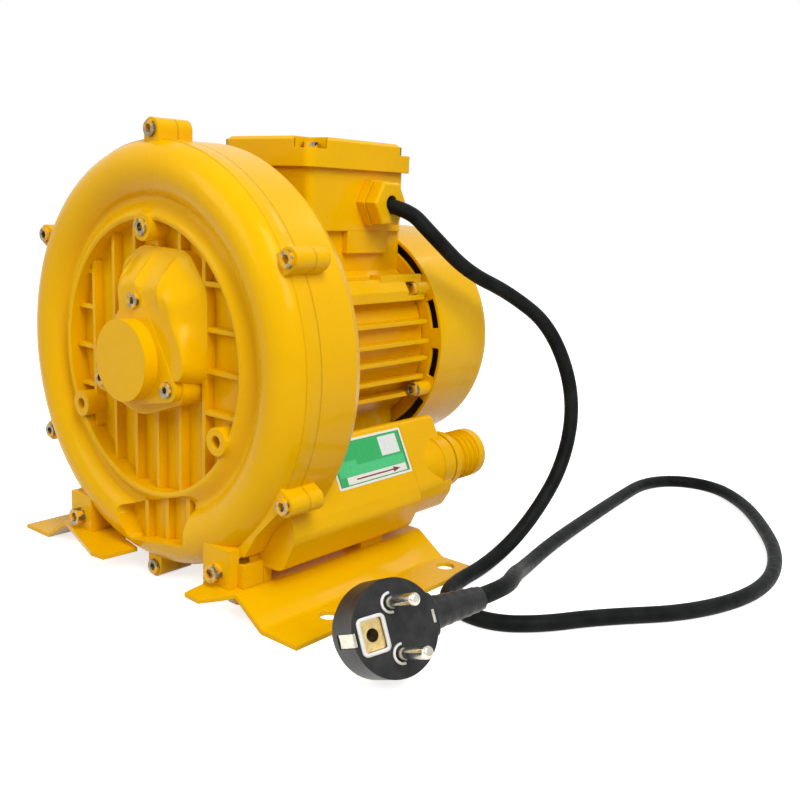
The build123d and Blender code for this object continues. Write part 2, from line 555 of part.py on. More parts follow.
with BuildPart() as motor_screws:
    socket_screws(CASE_REAR_Y + FLANGE_T, motor_spots, M5, 4.3, 5.0, 14.0, toward=1)
save(motor_screws, "motor_screws")

SHIELD_Y = FRAME_REAR_Y
with BuildPart() as end_shield:
    disc(SHIELD_Y, SHIELD_Y + 4.0, FRAME_R, 12.0)
    disc(SHIELD_Y - 3.0, SHIELD_Y, STATOR_R - LOOSE, 30.0)
    disc(REAR_BEARING_Y - 3.0, SHIELD_Y, 21.0, BEARING_OD + LOOSE)
    for i in range(6):
        with BuildSketch(face(REAR_BEARING_Y + 3.0)) as rib:
            with PolarLocations(30.0, 1, start_angle=60.0 * i):
                Rectangle(22.0, 3.0)
        extrude(rib.sketch, amount=-(SHIELD_Y - REAR_BEARING_Y - 3.0))
    disc(SHIELD_Y, SHIELD_Y + 4.0, 1.7, mode=Mode.SUBTRACT, at=[spot(44.9, a) for a in (0, 90, 180, 270)])
save(end_shield, "end_shield")

with BuildPart() as preload_spring:
    disc(REAR_BEARING_Y + BEARING_W + 0.2, SHIELD_Y, BEARING_OD - 1.0, 12.4)
save(preload_spring, "preload_spring")

FAN_Y1, FAN_Y2, FAN_R = Y0 + 146.0, Y0 + 160.0, 53.0
FAN_ROOT = 9.0
with BuildPart() as cooling_fan:
    disc(FAN_Y1, FAN_Y1 + 2.0, FAN_R, FAN_SEAT_R + 0.02)
    disc(FAN_Y1, FAN_Y2, 10.0, FAN_SEAT_R + 0.02)
    with BuildSketch(face(FAN_Y1)):
        with PolarLocations((FAN_R + FAN_ROOT) / 2, 9):
            Rectangle(FAN_R - FAN_ROOT, 1.8)
    extrude(amount=-(FAN_Y2 - FAN_Y1))
save(cooling_fan, "cooling_fan")

COWL_SLOTS = ((64, 39), (25, 9.7), (-1, -17), (-31, -64))
GRILLE_BARS = 20
with BuildPart() as fan_cowl:
    disc(FRAME_REAR_Y, COWL_END_Y, COWL_R)
    fillet(fan_cowl.faces().sort_by(Axis.Y)[-1].edges(), 9.0)
    disc(FRAME_REAR_Y + COWL_T, COWL_END_Y - COWL_T - 7.5, COWL_R - COWL_T, mode=Mode.SUBTRACT)
    disc(COWL_END_Y - COWL_T - 7.5, COWL_END_Y - COWL_T, COWL_R - 10.0, mode=Mode.SUBTRACT)
    disc(FRAME_REAR_Y, FRAME_REAR_Y + COWL_T, FRAME_R + 0.3, mode=Mode.SUBTRACT)
    for first, last in COWL_SLOTS:
        for start in (90 - first, 270 + last):
            with BuildSketch(side_at(start)) as slot:
                with Locations((FRAME_REAR_Y + COWL_T / 2, 56.0)):
                    Rectangle(2 * COWL_T, 4.8)
            revolve(slot.sketch, axis=SPIN, revolution_arc=first - last, mode=Mode.SUBTRACT)
    with BuildSketch(face(COWL_END_Y - 8.0)) as grille:
        with PolarLocations(27.5, GRILLE_BARS):
            SlotOverall(31.0, 4.2)
    extrude(grille.sketch, amount=-12.0, mode=Mode.SUBTRACT)
    disc(FRAME_REAR_Y, FRAME_REAR_Y + COWL_T, M4 + HOLE, mode=Mode.SUBTRACT, at=cowl_spots)
save(fan_cowl, "fan_cowl")

with BuildPart() as cowl_screws:
    socket_screws(FRAME_REAR_Y - 9.0, cowl_spots, M4, 3.4, 3.0, 9.0 + COWL_T + 1.0)
save(cowl_screws, "cowl_screws")

# ---- terminal box -------------------------------------------------------
BOX_WALL, POST_R = 3.0, 4.5
BOX_LEN = BOX_Y2 - BOX_Y1
POST_AT = [(sx * (BOX_X - 5.5), sy * (BOX_LEN / 2 - 5.5)) for sx in (-1, 1) for sy in (-1, 1)]
GLAND_Y, GLAND_Z, GLAND_R = Y0 + 112.0, 72.0, 8.0
CORD_R = 3.7
LID_SEAT, LID_OVER, LID_WALL = 96.0, 3.0, 2.5


def level(z):
    """Level plane at z above the axis, over the middle of the terminal box."""
    return Plane((0, BOX_MID_Y, AXIS_H + z))


def toward_side(x, y, z):
    """Plane looking along +X at the given place; z counts from the axis."""
    return Plane((x, y, AXIS_H + z), x_dir=(0, 1, 0), z_dir=(1, 0, 0))


with BuildPart() as terminal_box:
    with BuildSketch(level(BOX_Z1)):
        RectangleRounded(2 * BOX_X, BOX_LEN, 4.0)
    extrude(amount=BOX_Z2 - BOX_Z1)
    with BuildSketch(level(BOX_Z1 + BOX_WALL)):
        RectangleRounded(2 * (BOX_X - BOX_WALL), BOX_LEN - 2 * BOX_WALL, 2.0)
    extrude(amount=BOX_Z2 - BOX_Z1, mode=Mode.SUBTRACT)
    with BuildSketch(level(BOX_Z1)):
        with Locations(*POST_AT):
            Circle(POST_R)
    extrude(amount=BOX_Z2 - BOX_Z1)
    with BuildSketch(level(BOX_Z2 - 16.0)):
        with Locations(*POST_AT):
            Circle(M4 + HOLE)
    extrude(amount=16.0, mode=Mode.SUBTRACT)
    with BuildSketch(toward_side(BOX_X - BOX_WALL, GLAND_Y, GLAND_Z)):
        Circle(GLAND_R + LOOSE)
    extrude(amount=BOX_WALL, mode=Mode.SUBTRACT)
    with BuildSketch(level(BOX_Z1)):
        with Locations((0, LEAD_Y - BOX_MID_Y)):
            Circle(LEAD_R)
        with Locations(*[(20.0, y - BOX_MID_Y) for y in box_screw_ys]):
            Circle(M4 + HOLE)
    extrude(amount=BOX_WALL, mode=Mode.SUBTRACT)
save(terminal_box, "terminal_box")


def top_screws(z, at, r, head_r, head_h, length):
    """Level-headed screws seated at z, over the box."""
    for x, y in at:
        with Locations((x, BOX_MID_Y + y, AXIS_H + z + head_h / 2)):
            Cylinder(head_r, head_h)
            Box(2 * head_r + 1, 1.0, 1.2, align=(Align.CENTER, Align.CENTER, Align.MIN),
                mode=Mode.SUBTRACT)
        with Locations((x, BOX_MID_Y + y, AXIS_H + z - length / 2)):
            Cylinder(r, length)


with BuildPart() as box_screws:
    top_screws(BOX_Z1 + BOX_WALL, [(20.0, y - BOX_MID_Y) for y in box_screw_ys],
               M4, 3.6, 2.6, BOX_WALL + 8.0)
save(box_screws, "box_screws")

with BuildPart() as lid_gasket:
    with BuildSketch(level(BOX_Z2)):
        RectangleRounded(2 * BOX_X, BOX_LEN, 4.0)
        RectangleRounded(2 * (BOX_X - BOX_WALL), BOX_LEN - 2 * BOX_WALL, 2.0, mode=Mode.SUBTRACT)
        with Locations(*POST_AT):
            Circle(POST_R)
            Circle(M4 + HOLE + 0.3, mode=Mode.SUBTRACT)
    extrude(amount=GASKET)
save(lid_gasket, "lid_gasket")

LID_Z1 = BOX_Z2 + GASKET
with BuildPart() as terminal_lid:
    with BuildSketch(level(LID_Z1)):
        RectangleRounded(2 * (BOX_X + LID_OVER), BOX_LEN + 2 * LID_OVER, 5.0)
    extrude(amount=LID_Z - LID_Z1)
    chamfer(terminal_lid.faces().sort_by(Axis.Z)[-1].edges(), 1.5)
    with BuildSketch(level(LID_Z1)):
        RectangleRounded(2 * (BOX_X - LID_WALL), BOX_LEN - 2 * LID_WALL, 2.5)
    extrude(amount=LID_Z - LID_Z1 - LID_WALL, mode=Mode.SUBTRACT)
    with BuildSketch(level(LID_Z1)):
        with Locations(*POST_AT):
            Rectangle(10.5, 10.5)
    extrude(amount=LID_Z - LID_Z1 - 1.6)
    with BuildSketch(level(LID_SEAT)):
        with Locations(*[(x + (2 if x > 0 else -2), y + (2 if y > 0 else -2))
                         for x, y in POST_AT]):
            RectangleRounded(13.0, 13.0, 3.0)
    extrude(amount=20.0, mode=Mode.SUBTRACT)
    with BuildSketch(level(LID_Z1)):
        with Locations(*POST_AT):
            Circle(M4 + HOLE)
    extrude(amount=20.0, mode=Mode.SUBTRACT)
save(terminal_lid, "terminal_lid")

with BuildPart() as lid_screws:
    top_screws(LID_SEAT, POST_AT, M4, 3.7, 3.0, LID_SEAT - BOX_Z2 + 12.0)
save(lid_screws, "lid_screws")

BLOCK_Y = Y0 + 118.0
BLOCK_TOP = BOX_Z1 + BOX_WALL + 11.0
with BuildPart() as terminal_block:
    block(-18.0, 14.0, BLOCK_Y - 8.0, BLOCK_Y + 8.0, BOX_Z1 + BOX_WALL, BLOCK_TOP)
    for x in (-12.5, -2.0, 8.5):
        block(x - 4.0, x + 4.0, BLOCK_Y - 6.0, BLOCK_Y + 6.0, BLOCK_TOP - 3.0, BLOCK_TOP,
              mode=Mode.SUBTRACT)
save(terminal_block, "terminal_block")

with BuildPart() as terminal_studs:
    for x in (-12.5, -2.0, 8.5):
        with Locations((x, BLOCK_Y, AXIS_H + BLOCK_TOP - 2.0)):
            Box(7.0, 10.0, 2.0)
        with Locations((x, BLOCK_Y, AXIS_H + BLOCK_TOP + 0.5)):
            Cylinder(2.4, 3.0)
save(terminal_studs, "terminal_studs")

CAP_X, CAN_R = -5.0, 12.5
with BuildPart() as run_capacitor:
    disc(BOX_Y1 + 5.0, BOX_Y1 + 41.0, CAN_R, at=((CAP_X, BOX_Z1 + BOX_WALL + CAN_R),))
save(run_capacitor, "run_capacitor")

# ---- cable gland --------------------------------------------------------
GLAND_BORE = CORD_R + 0.3
HEX_X, NUT_X, GLAND_END = BOX_X + 5.0, BOX_X + 5.3, BOX_X + 12.5


def along_x(x1, x2, r, r_in=0.0, mode=Mode.ADD, hexagon=False):
    with BuildSketch(toward_side(x1, GLAND_Y, GLAND_Z)) as ring:
        if hexagon:
            RegularPolygon(r, 6, major_radius=False)
        else:
            Circle(r)
        if r_in:
            Circle(r_in, mode=Mode.SUBTRACT)
    extrude(ring.sketch, amount=x2 - x1, mode=mode)


with BuildPart() as cable_gland:
    along_x(BOX_X - 7.0, BOX_X, GLAND_R - LOOSE, GLAND_BORE)
    along_x(BOX_X, HEX_X, 11.0, GLAND_BORE, hexagon=True)
    along_x(HEX_X, GLAND_END - 2.5, GLAND_R - 0.5, GLAND_BORE)
save(cable_gland, "cable_gland")

with BuildPart() as gland_locknut:
    along_x(BOX_X - 6.5, BOX_X - BOX_WALL, 10.5, GLAND_R, hexagon=True)
save(gland_locknut, "gland_locknut")

with BuildPart() as gland_nut:
    along_x(NUT_X, GLAND_END, 10.3, hexagon=True)
    fillet(gland_nut.faces().sort_by(Axis.X)[-1].edges(), 1.5)
    along_x(NUT_X, GLAND_END - 2.4, GLAND_R - 0.45, mode=Mode.SUBTRACT)
    along_x(NUT_X, GLAND_END, GLAND_BORE, mode=Mode.SUBTRACT)
save(gland_nut, "gland_nut")

# ---- feet ---------------------------------------------------------------
FOOT_Y1, FOOT_Y2 = Y0 - 5.5, Y0 + 118.0
SECTION = [(FOOT_OUT, 0), (FOOT_LOW + 0.5, 0), (FOOT_BEND + 0.5, FLANGE_Z - SHEET),
           (44.0, FLANGE_Z - SHEET), (44.0, FLANGE_Z), (FOOT_BEND + 1.1, FLANGE_Z),
           (FOOT_LOW + 1.1, SHEET), (FOOT_OUT, SHEET)]
TONGUES = {
    1: [(65.0, -5.5), (62.5, -11.0), (58.0, -19.6), (48.5, -19.1), (46.0, -5.5),
        (46.0, 2.0), (65.0, 2.0)],
    -1: [(-65.0, -5.5), (-20.0, -20.0), (-11.5, -19.0), (-10.2, -1.2), (-28.5, 2.5),
         (-28.5, 12.0), (-45.0, 34.0), (-65.0, 2.0)],
}


def foot(side, node):
    """Folded sheet foot with an open tongue at its front end."""
    with BuildPart() as bracket:
        with BuildSketch(Plane.XZ.offset(-FOOT_Y1)) as section:
            Polygon(*[(side * x, z) for x, z in SECTION], align=None)
            low = section.vertices().filter_by(lambda v: FOOT_BEND < abs(v.X) < FOOT_LOW + 2)
            fillet(low, 3.5)
        extrude(section.sketch, amount=-(FOOT_Y2 - FOOT_Y1))
        with BuildSketch(Plane.XY.offset(FLANGE_Z - SHEET)) as tongue:
            Polygon(*[(x, Y0 + y) for x, y in TONGUES[side]], align=None)
            fillet(tongue.vertices().group_by(Axis.Y)[0], 1.0)
        extrude(tongue.sketch, amount=SHEET)
        with Locations(*[(side * HOLE_X, y, 0) for y in (-HOLE_Y, HOLE_Y)]):
            Cylinder(HOLE_R, 3 * SHEET, mode=Mode.SUBTRACT)
        with Locations(*[(side * FOOT_BOLT_X, y, FLANGE_Z) for y in (FOOT_BOLT_Y1, FOOT_BOLT_Y2)]):
            Cylinder(M6 + HOLE, 3 * SHEET, mode=Mode.SUBTRACT)
    save(bracket, node)


foot(-1, "foot_left")
foot(1, "foot_right")
foot_bolt_at = [(s * FOOT_BOLT_X, y) for s in (-1, 1) for y in (FOOT_BOLT_Y1, FOOT_BOLT_Y2)]
WASHER_T, BOLT_HEAD_H = 1.2, 4.0
UNDER = FLANGE_Z - SHEET

with BuildPart() as foot_washers:
    with BuildSketch(Plane.XY.offset(UNDER - WASHER_T)):
        with Locations(*foot_bolt_at):
            Circle(5.6)
            Circle(M6 + HOLE, mode=Mode.SUBTRACT)
    extrude(amount=WASHER_T)
save(foot_washers, "foot_washers")

with BuildPart() as foot_bolts:
    with BuildSketch(Plane.XY.offset(UNDER - WASHER_T - BOLT_HEAD_H)):
        with Locations(*foot_bolt_at):
            RegularPolygon(5.0, 6, major_radius=False)
    extrude(amount=BOLT_HEAD_H)
    with BuildSketch(Plane.XY.offset(UNDER - WASHER_T)):
        with Locations(*foot_bolt_at):
            Circle(M6)
    extrude(amount=WASHER_T + SHEET + 7.0)
save(foot_bolts, "foot_bolts")

# ---- label on the right duct --------------------------------------------
(LX1, LZ1), (LX2, LZ2) = DUCT[1], DUCT[2]
LABEL_AT = 0.43         # middle of the label, down the sloped face
SLOPE = sqrt((LX2 - LX1) ** 2 + (LZ1 - LZ2) ** 2)
NORMAL = ((LZ1 - LZ2) / SLOPE, 0, (LX2 - LX1) / SLOPE)
with BuildPart() as rating_label:
    mid = (LX1 + (LX2 - LX1) * LABEL_AT, Y0 + 71.0, AXIS_H + LZ1 + (LZ2 - LZ1) * LABEL_AT)
    with BuildSketch(Plane(mid, x_dir=(0, 1, 0), z_dir=NORMAL)):
        RectangleRounded(51.0, 22.5, 1.0)
    extrude(amount=0.3)
save(rating_label, "rating_label")

# ---- mains cord and plug ------------------------------------------------
PLUG_AT = Vector(152.0, Y0 - 3.1, AXIS_H - 80.0)      # middle of the plug face
PIN_DIR = Vector(0.862, -0.280, 0.4226)               # way the pins point
CORD_DIR = Vector(0.280, 0.958, 0.063)                # way the cord leaves
PLUG_R, PLUG_T, PIN_GAP, PIN_R, PIN_L = 18.5, 21.0, 19.0, 2.4, 19.0
PLUG_MID = 11.0         # cord axis behind the face
RELIEF_L1, RELIEF_L2 = 15.0, 47.0
FLOOR_CORD = CORD_R + 0.02
PLUG = Plane(PLUG_AT, x_dir=CORD_DIR, z_dir=PIN_DIR)


def plug_point(along, out=-PLUG_MID):
    """Place in the plug, along the cord and out of the face."""
    return tuple(PLUG_AT + PLUG.x_dir * along + PLUG.z_dir * out)


CORD = [
    (24.0, GLAND_Y, AXIS_H + GLAND_Z), (52.0, GLAND_Y, AXIS_H + GLAND_Z),
    (66.0, Y0 + 119.0, AXIS_H + 57.0), (69.0, Y0 + 144.0, AXIS_H + 36.0),
    (80.0, Y0 + 168.0, AXIS_H + 25.0), (97.0, Y0 + 184.0, AXIS_H + 9.0),
    (110.0, Y0 + 191.0, AXIS_H - 24.0), (115.0, Y0 + 177.0, AXIS_H - 58.0),
    (111.0, Y0 + 153.0, AXIS_H - 86.0), (107.0, Y0 + 125.0, FLOOR_CORD),
    (110.7, Y0 + 83.1, FLOOR_CORD), (125.7, Y0 + 66.7, FLOOR_CORD),
    (147.9, Y0 + 65.7, FLOOR_CORD), (164.3, Y0 + 80.7, FLOOR_CORD),
    (178.0, Y0 + 105.0, FLOOR_CORD), (208.0, Y0 + 142.0, FLOOR_CORD),
    (221.0, Y0 + 192.0, FLOOR_CORD), (208.0, Y0 + 247.0, FLOOR_CORD),
    (175.0, Y0 + 303.0, FLOOR_CORD), (153.0, Y0 + 330.0, FLOOR_CORD),
    (131.0, Y0 + 346.0, FLOOR_CORD), (107.0, Y0 + 341.0, FLOOR_CORD),
    (95.0, Y0 + 317.0, FLOOR_CORD), (99.0, Y0 + 279.0, FLOOR_CORD),
    (106.0, Y0 + 225.0, FLOOR_CORD), (114.0, Y0 + 170.0, FLOOR_CORD),
    (124.0, Y0 + 126.0, FLOOR_CORD + 0.3), (145.0, Y0 + 88.0, AXIS_H - 86.0),
    plug_point(60.0), plug_point(24.0),
]


def bend_radii(points):
    """Radius of each bend: 0.45 of the shorter run over tan of half the turn."""
    radii = []
    for before, here, after in zip(points, points[1:], points[2:]):
        run_in = Vector(*here) - Vector(*before)
        run_out = Vector(*after) - Vector(*here)
        half = radians(run_in.get_angle(run_out)) / 2
        radii.append(0.45 * min(run_in.length, run_out.length) * cos(half) / sin(half))
    return radii


with BuildPart() as mains_cord:
    with BuildLine() as route:
        FilletPolyline(*CORD, radius=bend_radii(CORD))
    with BuildSketch(Plane(CORD[0], z_dir=(1, 0, 0))):
        Circle(CORD_R)
    sweep()
save(mains_cord, "mains_cord")
print("cord bends", [round(r, 1) for r in bend_radii(CORD)])
print("cord runs", [round((Vector(*b) - Vector(*a)).length, 1) for a, b in zip(CORD, CORD[1:])])
print("cord length", round(route.wire().length, 1), "volume ratio",
      round(mains_cord.part.volume / (route.wire().length * 3.14159 * CORD_R**2), 4))

with BuildPart() as plug_body:
    with BuildSketch(PLUG.offset(-PLUG_T)) as back:
        Circle(PLUG_R - 2.5)
    with BuildSketch(PLUG.offset(-PLUG_T + 6.0)) as waist:
        Circle(PLUG_R)
    loft([back.sketch, waist.sketch])
    extrude(waist.sketch, amount=PLUG_T - 6.0)
    boss_plane = Plane(plug_point(10.0), x_dir=PLUG.z_dir, z_dir=CORD_DIR)
    with BuildSketch(boss_plane) as boss:
        RectangleRounded(15.0, 17.0, 4.0)
    extrude(boss.sketch, amount=RELIEF_L1 + 6.0 - 10.0)
    # seats of the pins, of the earth socket and of the side clips
    with BuildSketch(PLUG) as holes:
        with Locations((0, -PIN_GAP / 2), (0, PIN_GAP / 2)):
            Circle(PIN_R + LOOSE)
        with Locations((-10.0, 0)):
            RectangleRounded(9.4, 11.4, 1.5)
    extrude(holes.sketch, amount=-7.0, mode=Mode.SUBTRACT)
    with BuildSketch(PLUG) as slots:
        with Locations((-PLUG_R + 0.6, 0), (PLUG_R - 0.6, 0)):
            Rectangle(2.6, 5.4)
    extrude(slots.sketch, amount=-12.0, mode=Mode.SUBTRACT)
    with Locations(Plane(plug_point(23.5), z_dir=CORD_DIR)):
        Cylinder(CORD_R + 0.3, 16.0, align=(Align.CENTER, Align.CENTER, Align.MIN),
                 mode=Mode.SUBTRACT)
save(plug_body, "plug_body")

with BuildPart() as plug_pins:
    with BuildSketch(PLUG.offset(-6.8)):
        with Locations((0, -PIN_GAP / 2), (0, PIN_GAP / 2)):
            Circle(PIN_R)
    extrude(amount=PIN_L + 6.8)
    fillet(plug_pins.edges().sort_by(Axis(PLUG_AT, PIN_DIR))[-2:], 1.4)
save(plug_pins, "plug_pins")

with BuildPart() as plug_earth_socket:
    with BuildSketch(PLUG.offset(-6.8)):
        with Locations((-10.0, 0)):
            RectangleRounded(9.2, 11.2, 1.4)
    extrude(amount=6.4)
    with BuildSketch(PLUG.offset(-6.8)):
        with Locations((-10.0, 0)):
            Circle(2.5)
    extrude(amount=7.0, mode=Mode.SUBTRACT)
save(plug_earth_socket, "plug_earth_socket")

with BuildPart() as plug_earth_clips:
    with BuildSketch(PLUG.offset(-11.8)):
        with Locations((-PLUG_R + 1.1, 0), (PLUG_R - 1.1, 0)):
            Rectangle(1.2, 5.0)
    extrude(amount=11.4)
save(plug_earth_clips, "plug_earth_clips")

RELIEF_RINGS = 5
with BuildPart() as plug_strain_relief:
    start = RELIEF_L1 + 6.0
    with BuildSketch(Plane(plug_point(start), z_dir=CORD_DIR)) as thick:
        Circle(6.8)
    with BuildSketch(Plane(plug_point(RELIEF_L2), z_dir=CORD_DIR)) as thin:
        Circle(CORD_R + 1.1)
    loft([thick.sketch, thin.sketch])
    for i in range(RELIEF_RINGS):
        at = start + 3.0 + i * 4.6
        with Locations(Plane(plug_point(at), z_dir=CORD_DIR)):
            Cylinder(7.0 - 0.36 * (i + 1), 2.0, align=(Align.CENTER, Align.CENTER, Align.MIN))
    with Locations(Plane(plug_point(start - 1), z_dir=CORD_DIR)):
        Cylinder(CORD_R + 0.15, 40.0, align=(Align.CENTER, Align.CENTER, Align.MIN),
                 mode=Mode.SUBTRACT)
save(plug_strain_relief, "plug_strain_relief")
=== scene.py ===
import math
import bmesh
import bpy
from mathutils import Matrix, Vector


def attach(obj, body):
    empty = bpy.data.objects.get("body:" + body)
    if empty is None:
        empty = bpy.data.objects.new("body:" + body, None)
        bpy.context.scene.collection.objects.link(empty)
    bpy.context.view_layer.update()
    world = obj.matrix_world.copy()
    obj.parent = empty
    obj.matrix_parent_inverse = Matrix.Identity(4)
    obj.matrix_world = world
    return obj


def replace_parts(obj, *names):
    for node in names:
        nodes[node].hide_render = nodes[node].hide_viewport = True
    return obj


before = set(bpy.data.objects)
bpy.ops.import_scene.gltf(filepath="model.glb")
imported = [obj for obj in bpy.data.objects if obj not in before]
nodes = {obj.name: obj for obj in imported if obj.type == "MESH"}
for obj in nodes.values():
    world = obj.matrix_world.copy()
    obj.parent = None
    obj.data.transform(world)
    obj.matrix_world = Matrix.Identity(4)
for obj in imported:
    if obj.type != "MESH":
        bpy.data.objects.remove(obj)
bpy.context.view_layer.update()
scene = bpy.context.scene

# ---- camera ----
# A plain lens a little above the shaft, off the gland side of the impeller cover.
# It is rolled by a couple of degrees, so the blower leans a little in the frame.
CAMERA_PLACE, LENS_MM, SENSOR_MM = (0.36372, -0.33032, 0.18053), 43.97, 36.0
CAMERA_AZIMUTH, CAMERA_ELEVATION, CAMERA_ROLL = 39.484, 11.677, 2.412
camera = bpy.data.objects.new("camera", bpy.data.cameras.new("camera"))
scene.collection.objects.link(camera)
azimuth, elevation, roll = (
    math.radians(a) for a in (CAMERA_AZIMUTH, CAMERA_ELEVATION, CAMERA_ROLL))
back = Vector((math.sin(azimuth) * math.cos(elevation),
               -math.cos(azimuth) * math.cos(elevation), math.sin(elevation)))
right = Vector((math.cos(azimuth), math.sin(azimuth), 0.0))
up = back.cross(right)
rolled_right = right * math.cos(roll) + up * math.sin(roll)
rolled_up = up * math.cos(roll) - right * math.sin(roll)
camera.matrix_world = Matrix.Translation(CAMERA_PLACE) @ Matrix(
    (rolled_right, rolled_up, back)).transposed().to_4x4()
camera.data.sensor_width = SENSOR_MM
camera.data.lens = LENS_MM
camera.data.clip_start, camera.data.clip_end = 0.01, 50.0
scene.camera = camera

# ---- studio ----
# A white table under a white sky, one large soft lamp high on the gland side, a
# weaker one in front and a small one behind for the highlights on the rim.
SKY_SEEN, SKY_FELT, TABLE_GLOW, TABLE_HALF = 1.0, 0.40, 0.74, 6.0
TABLE_WHITE, TABLE_BOUNCE = (0.86, 0.86, 0.86, 1.0), (0.52, 0.47, 0.36, 1.0)
scene.view_settings.view_transform = "Standard"


def backdrop_rays(tree):
    """1 for rays that show the backdrop as white: to the camera, off metal, through glass."""
    path = tree.nodes.new("ShaderNodeLightPath")
    shown = path.outputs["Is Camera Ray"]
    for ray in ("Is Glossy Ray", "Is Transmission Ray"):
        more = tree.nodes.new("ShaderNodeMath")
        more.operation = "MAXIMUM"
        tree.links.new(shown, more.inputs[0])
        tree.links.new(path.outputs[ray], more.inputs[1])
        shown = more.outputs["Value"]
    return shown


sky = bpy.data.worlds.new("studio_sky")
scene.world = sky
sky.use_nodes = True
tree = sky.node_tree
tree.nodes.clear()
out = tree.nodes.new("ShaderNodeOutputWorld")
seen = tree.nodes.new("ShaderNodeBackground")
seen.inputs["Color"].default_value = (1.0, 1.0, 1.0, 1.0)
seen.inputs["Strength"].default_value = SKY_SEEN
felt = tree.nodes.new("ShaderNodeBackground")
felt.inputs["Color"].default_value = (1.0, 0.98, 0.90, 1.0)
felt.inputs["Strength"].default_value = SKY_FELT
either = tree.nodes.new("ShaderNodeMixShader")
tree.links.new(backdrop_rays(tree), either.inputs["Fac"])
tree.links.new(felt.outputs["Background"], either.inputs[1])
tree.links.new(seen.outputs["Background"], either.inputs[2])
tree.links.new(either.outputs["Shader"], out.inputs["Surface"])


def softbox(name, place, aim, size, power):
    """Rectangular lamp at place that shines toward aim, sizes in metres and power in watts."""
    lamp = bpy.data.lights.new(name, "AREA")
    lamp.shape = "RECTANGLE"
    lamp.size, lamp.size_y = size
    lamp.energy = power
    holder = bpy.data.objects.new(name, lamp)
    scene.collection.objects.link(holder)
    holder.location = place
    holder.rotation_euler = (Vector(aim) - Vector(place)).to_track_quat("-Z", "Y").to_euler()


softbox("key_lamp", (0.85, -0.35, 1.0), (0.03, 0.0, 0.12), (0.5, 0.9), 12.5)
softbox("front_lamp", (-0.5, -1.3, 0.9), (0.0, 0.0, 0.1), (0.9, 0.7), 7.0)
softbox("rear_lamp", (0.15, 1.1, 1.1), (0.03, 0.0, 0.15), (0.28, 0.22), 1.0)

table_top = bmesh.new()
bmesh.ops.create_grid(table_top, x_segments=1, y_segments=1, size=TABLE_HALF)
mesh = bpy.data.meshes.new("table_top")
table_top.to_mesh(mesh)
table_top.free()
table = bpy.data.objects.new("table_top", mesh)
scene.collection.objects.link(table)
white = bpy.data.materials.new("white_table")
white.use_nodes = True
tree = white.node_tree
tree.nodes.clear()
out = tree.nodes.new("ShaderNodeOutputMaterial")
lit = tree.nodes.new("ShaderNodeBsdfDiffuse")
lit.inputs["Color"].default_value = TABLE_WHITE
glow = tree.nodes.new("ShaderNodeEmission")
glow.inputs["Strength"].default_value = TABLE_GLOW
bounce = tree.nodes.new("ShaderNodeBsdfDiffuse")
bounce.inputs["Color"].default_value = TABLE_BOUNCE
both = tree.nodes.new("ShaderNodeAddShader")
tree.links.new(lit.outputs["BSDF"], both.inputs[0])
tree.links.new(glow.outputs["Emission"], both.inputs[1])
either = tree.nodes.new("ShaderNodeMixShader")
tree.links.new(backdrop_rays(tree), either.inputs["Fac"])
tree.links.new(bounce.outputs["BSDF"], either.inputs[1])
tree.links.new(both.outputs["Shader"], either.inputs[2])
tree.links.new(either.outputs["Shader"], out.inputs["Surface"])
mesh.materials.append(white)

# ---- mains cord ----
# Round black rubber lead, out of the gland, down to the table, round in one loose
# loop on the gland side and back to the plug. Its points are in mm.
CORD_POINTS = [
    (24.0, 45.0, 177.5), (52.0, 45.0, 177.5), (66.0, 52.0, 162.5), (69.0, 77.0, 145.0),
    (80.0, 101.0, 134.0), (97.0, 117.0, 117.0), (110.0, 124.0, 81.5), (115.0, 110.0, 47.5),
    (111.0, 86.0, 19.5), (107.0, 58.0, 3.72), (110.7, 16.1, 3.72), (125.7, -0.3, 3.72),
    (147.9, -1.3, 3.72), (164.3, 13.7, 3.72), (178.0, 38.0, 3.72), (208.0, 75.0, 3.72),
    (221.0, 125.0, 3.72), (208.0, 180.0, 3.72), (175.0, 236.0, 3.72), (153.0, 263.0, 3.72),
    (131.0, 279.0, 3.72), (107.0, 274.0, 3.72), (95.0, 250.0, 3.72), (99.0, 212.0, 3.72),
    (106.0, 158.0, 3.72), (114.0, 103.0, 3.72), (124.0, 59.0, 4.02), (145.0, 21.0, 19.5),
]
MM = 0.001
CORD_R, BEHIND_FACE = 3.7, 11.0
plug_at = Vector((152.0, -70.1, 25.5)) * MM
pin_way = Vector((0.862, -0.280, 0.4226)).normalized()
cord_way = Vector((0.280, 0.958, 0.063))
cord_way = (cord_way - pin_way * cord_way.dot(pin_way)).normalized()


def plug_place(along):
    """Place on the cord's line in the plug, mm along it, behind the face of the pins."""
    return plug_at + cord_way * along * MM - pin_way * BEHIND_FACE * MM


line = bpy.data.curves.new("mains_lead", "CURVE")
line.dimensions = "3D"
line.bevel_depth = CORD_R * MM
line.bevel_resolution = 8
line.resolution_u = 12
line.use_fill_caps = True
route = line.splines.new("NURBS")
places = [Vector(p) * MM for p in CORD_POINTS] + [plug_place(60.0), plug_place(24.0)]
route.points.add(len(places) - 1)
for point, place in zip(route.points, places):
    point.co = (*place, 1.0)
route.order_u = 3
route.use_endpoint_u = True
lead = bpy.data.objects.new("mains_lead", line)
scene.collection.objects.link(lead)


def new_material(name):
    """Material with its node tree and its shader."""
    material = bpy.data.materials.new(name)
    material.use_nodes = True
    tree = material.node_tree
    shader = tree.nodes["Principled BSDF"]
    return material, tree, shader


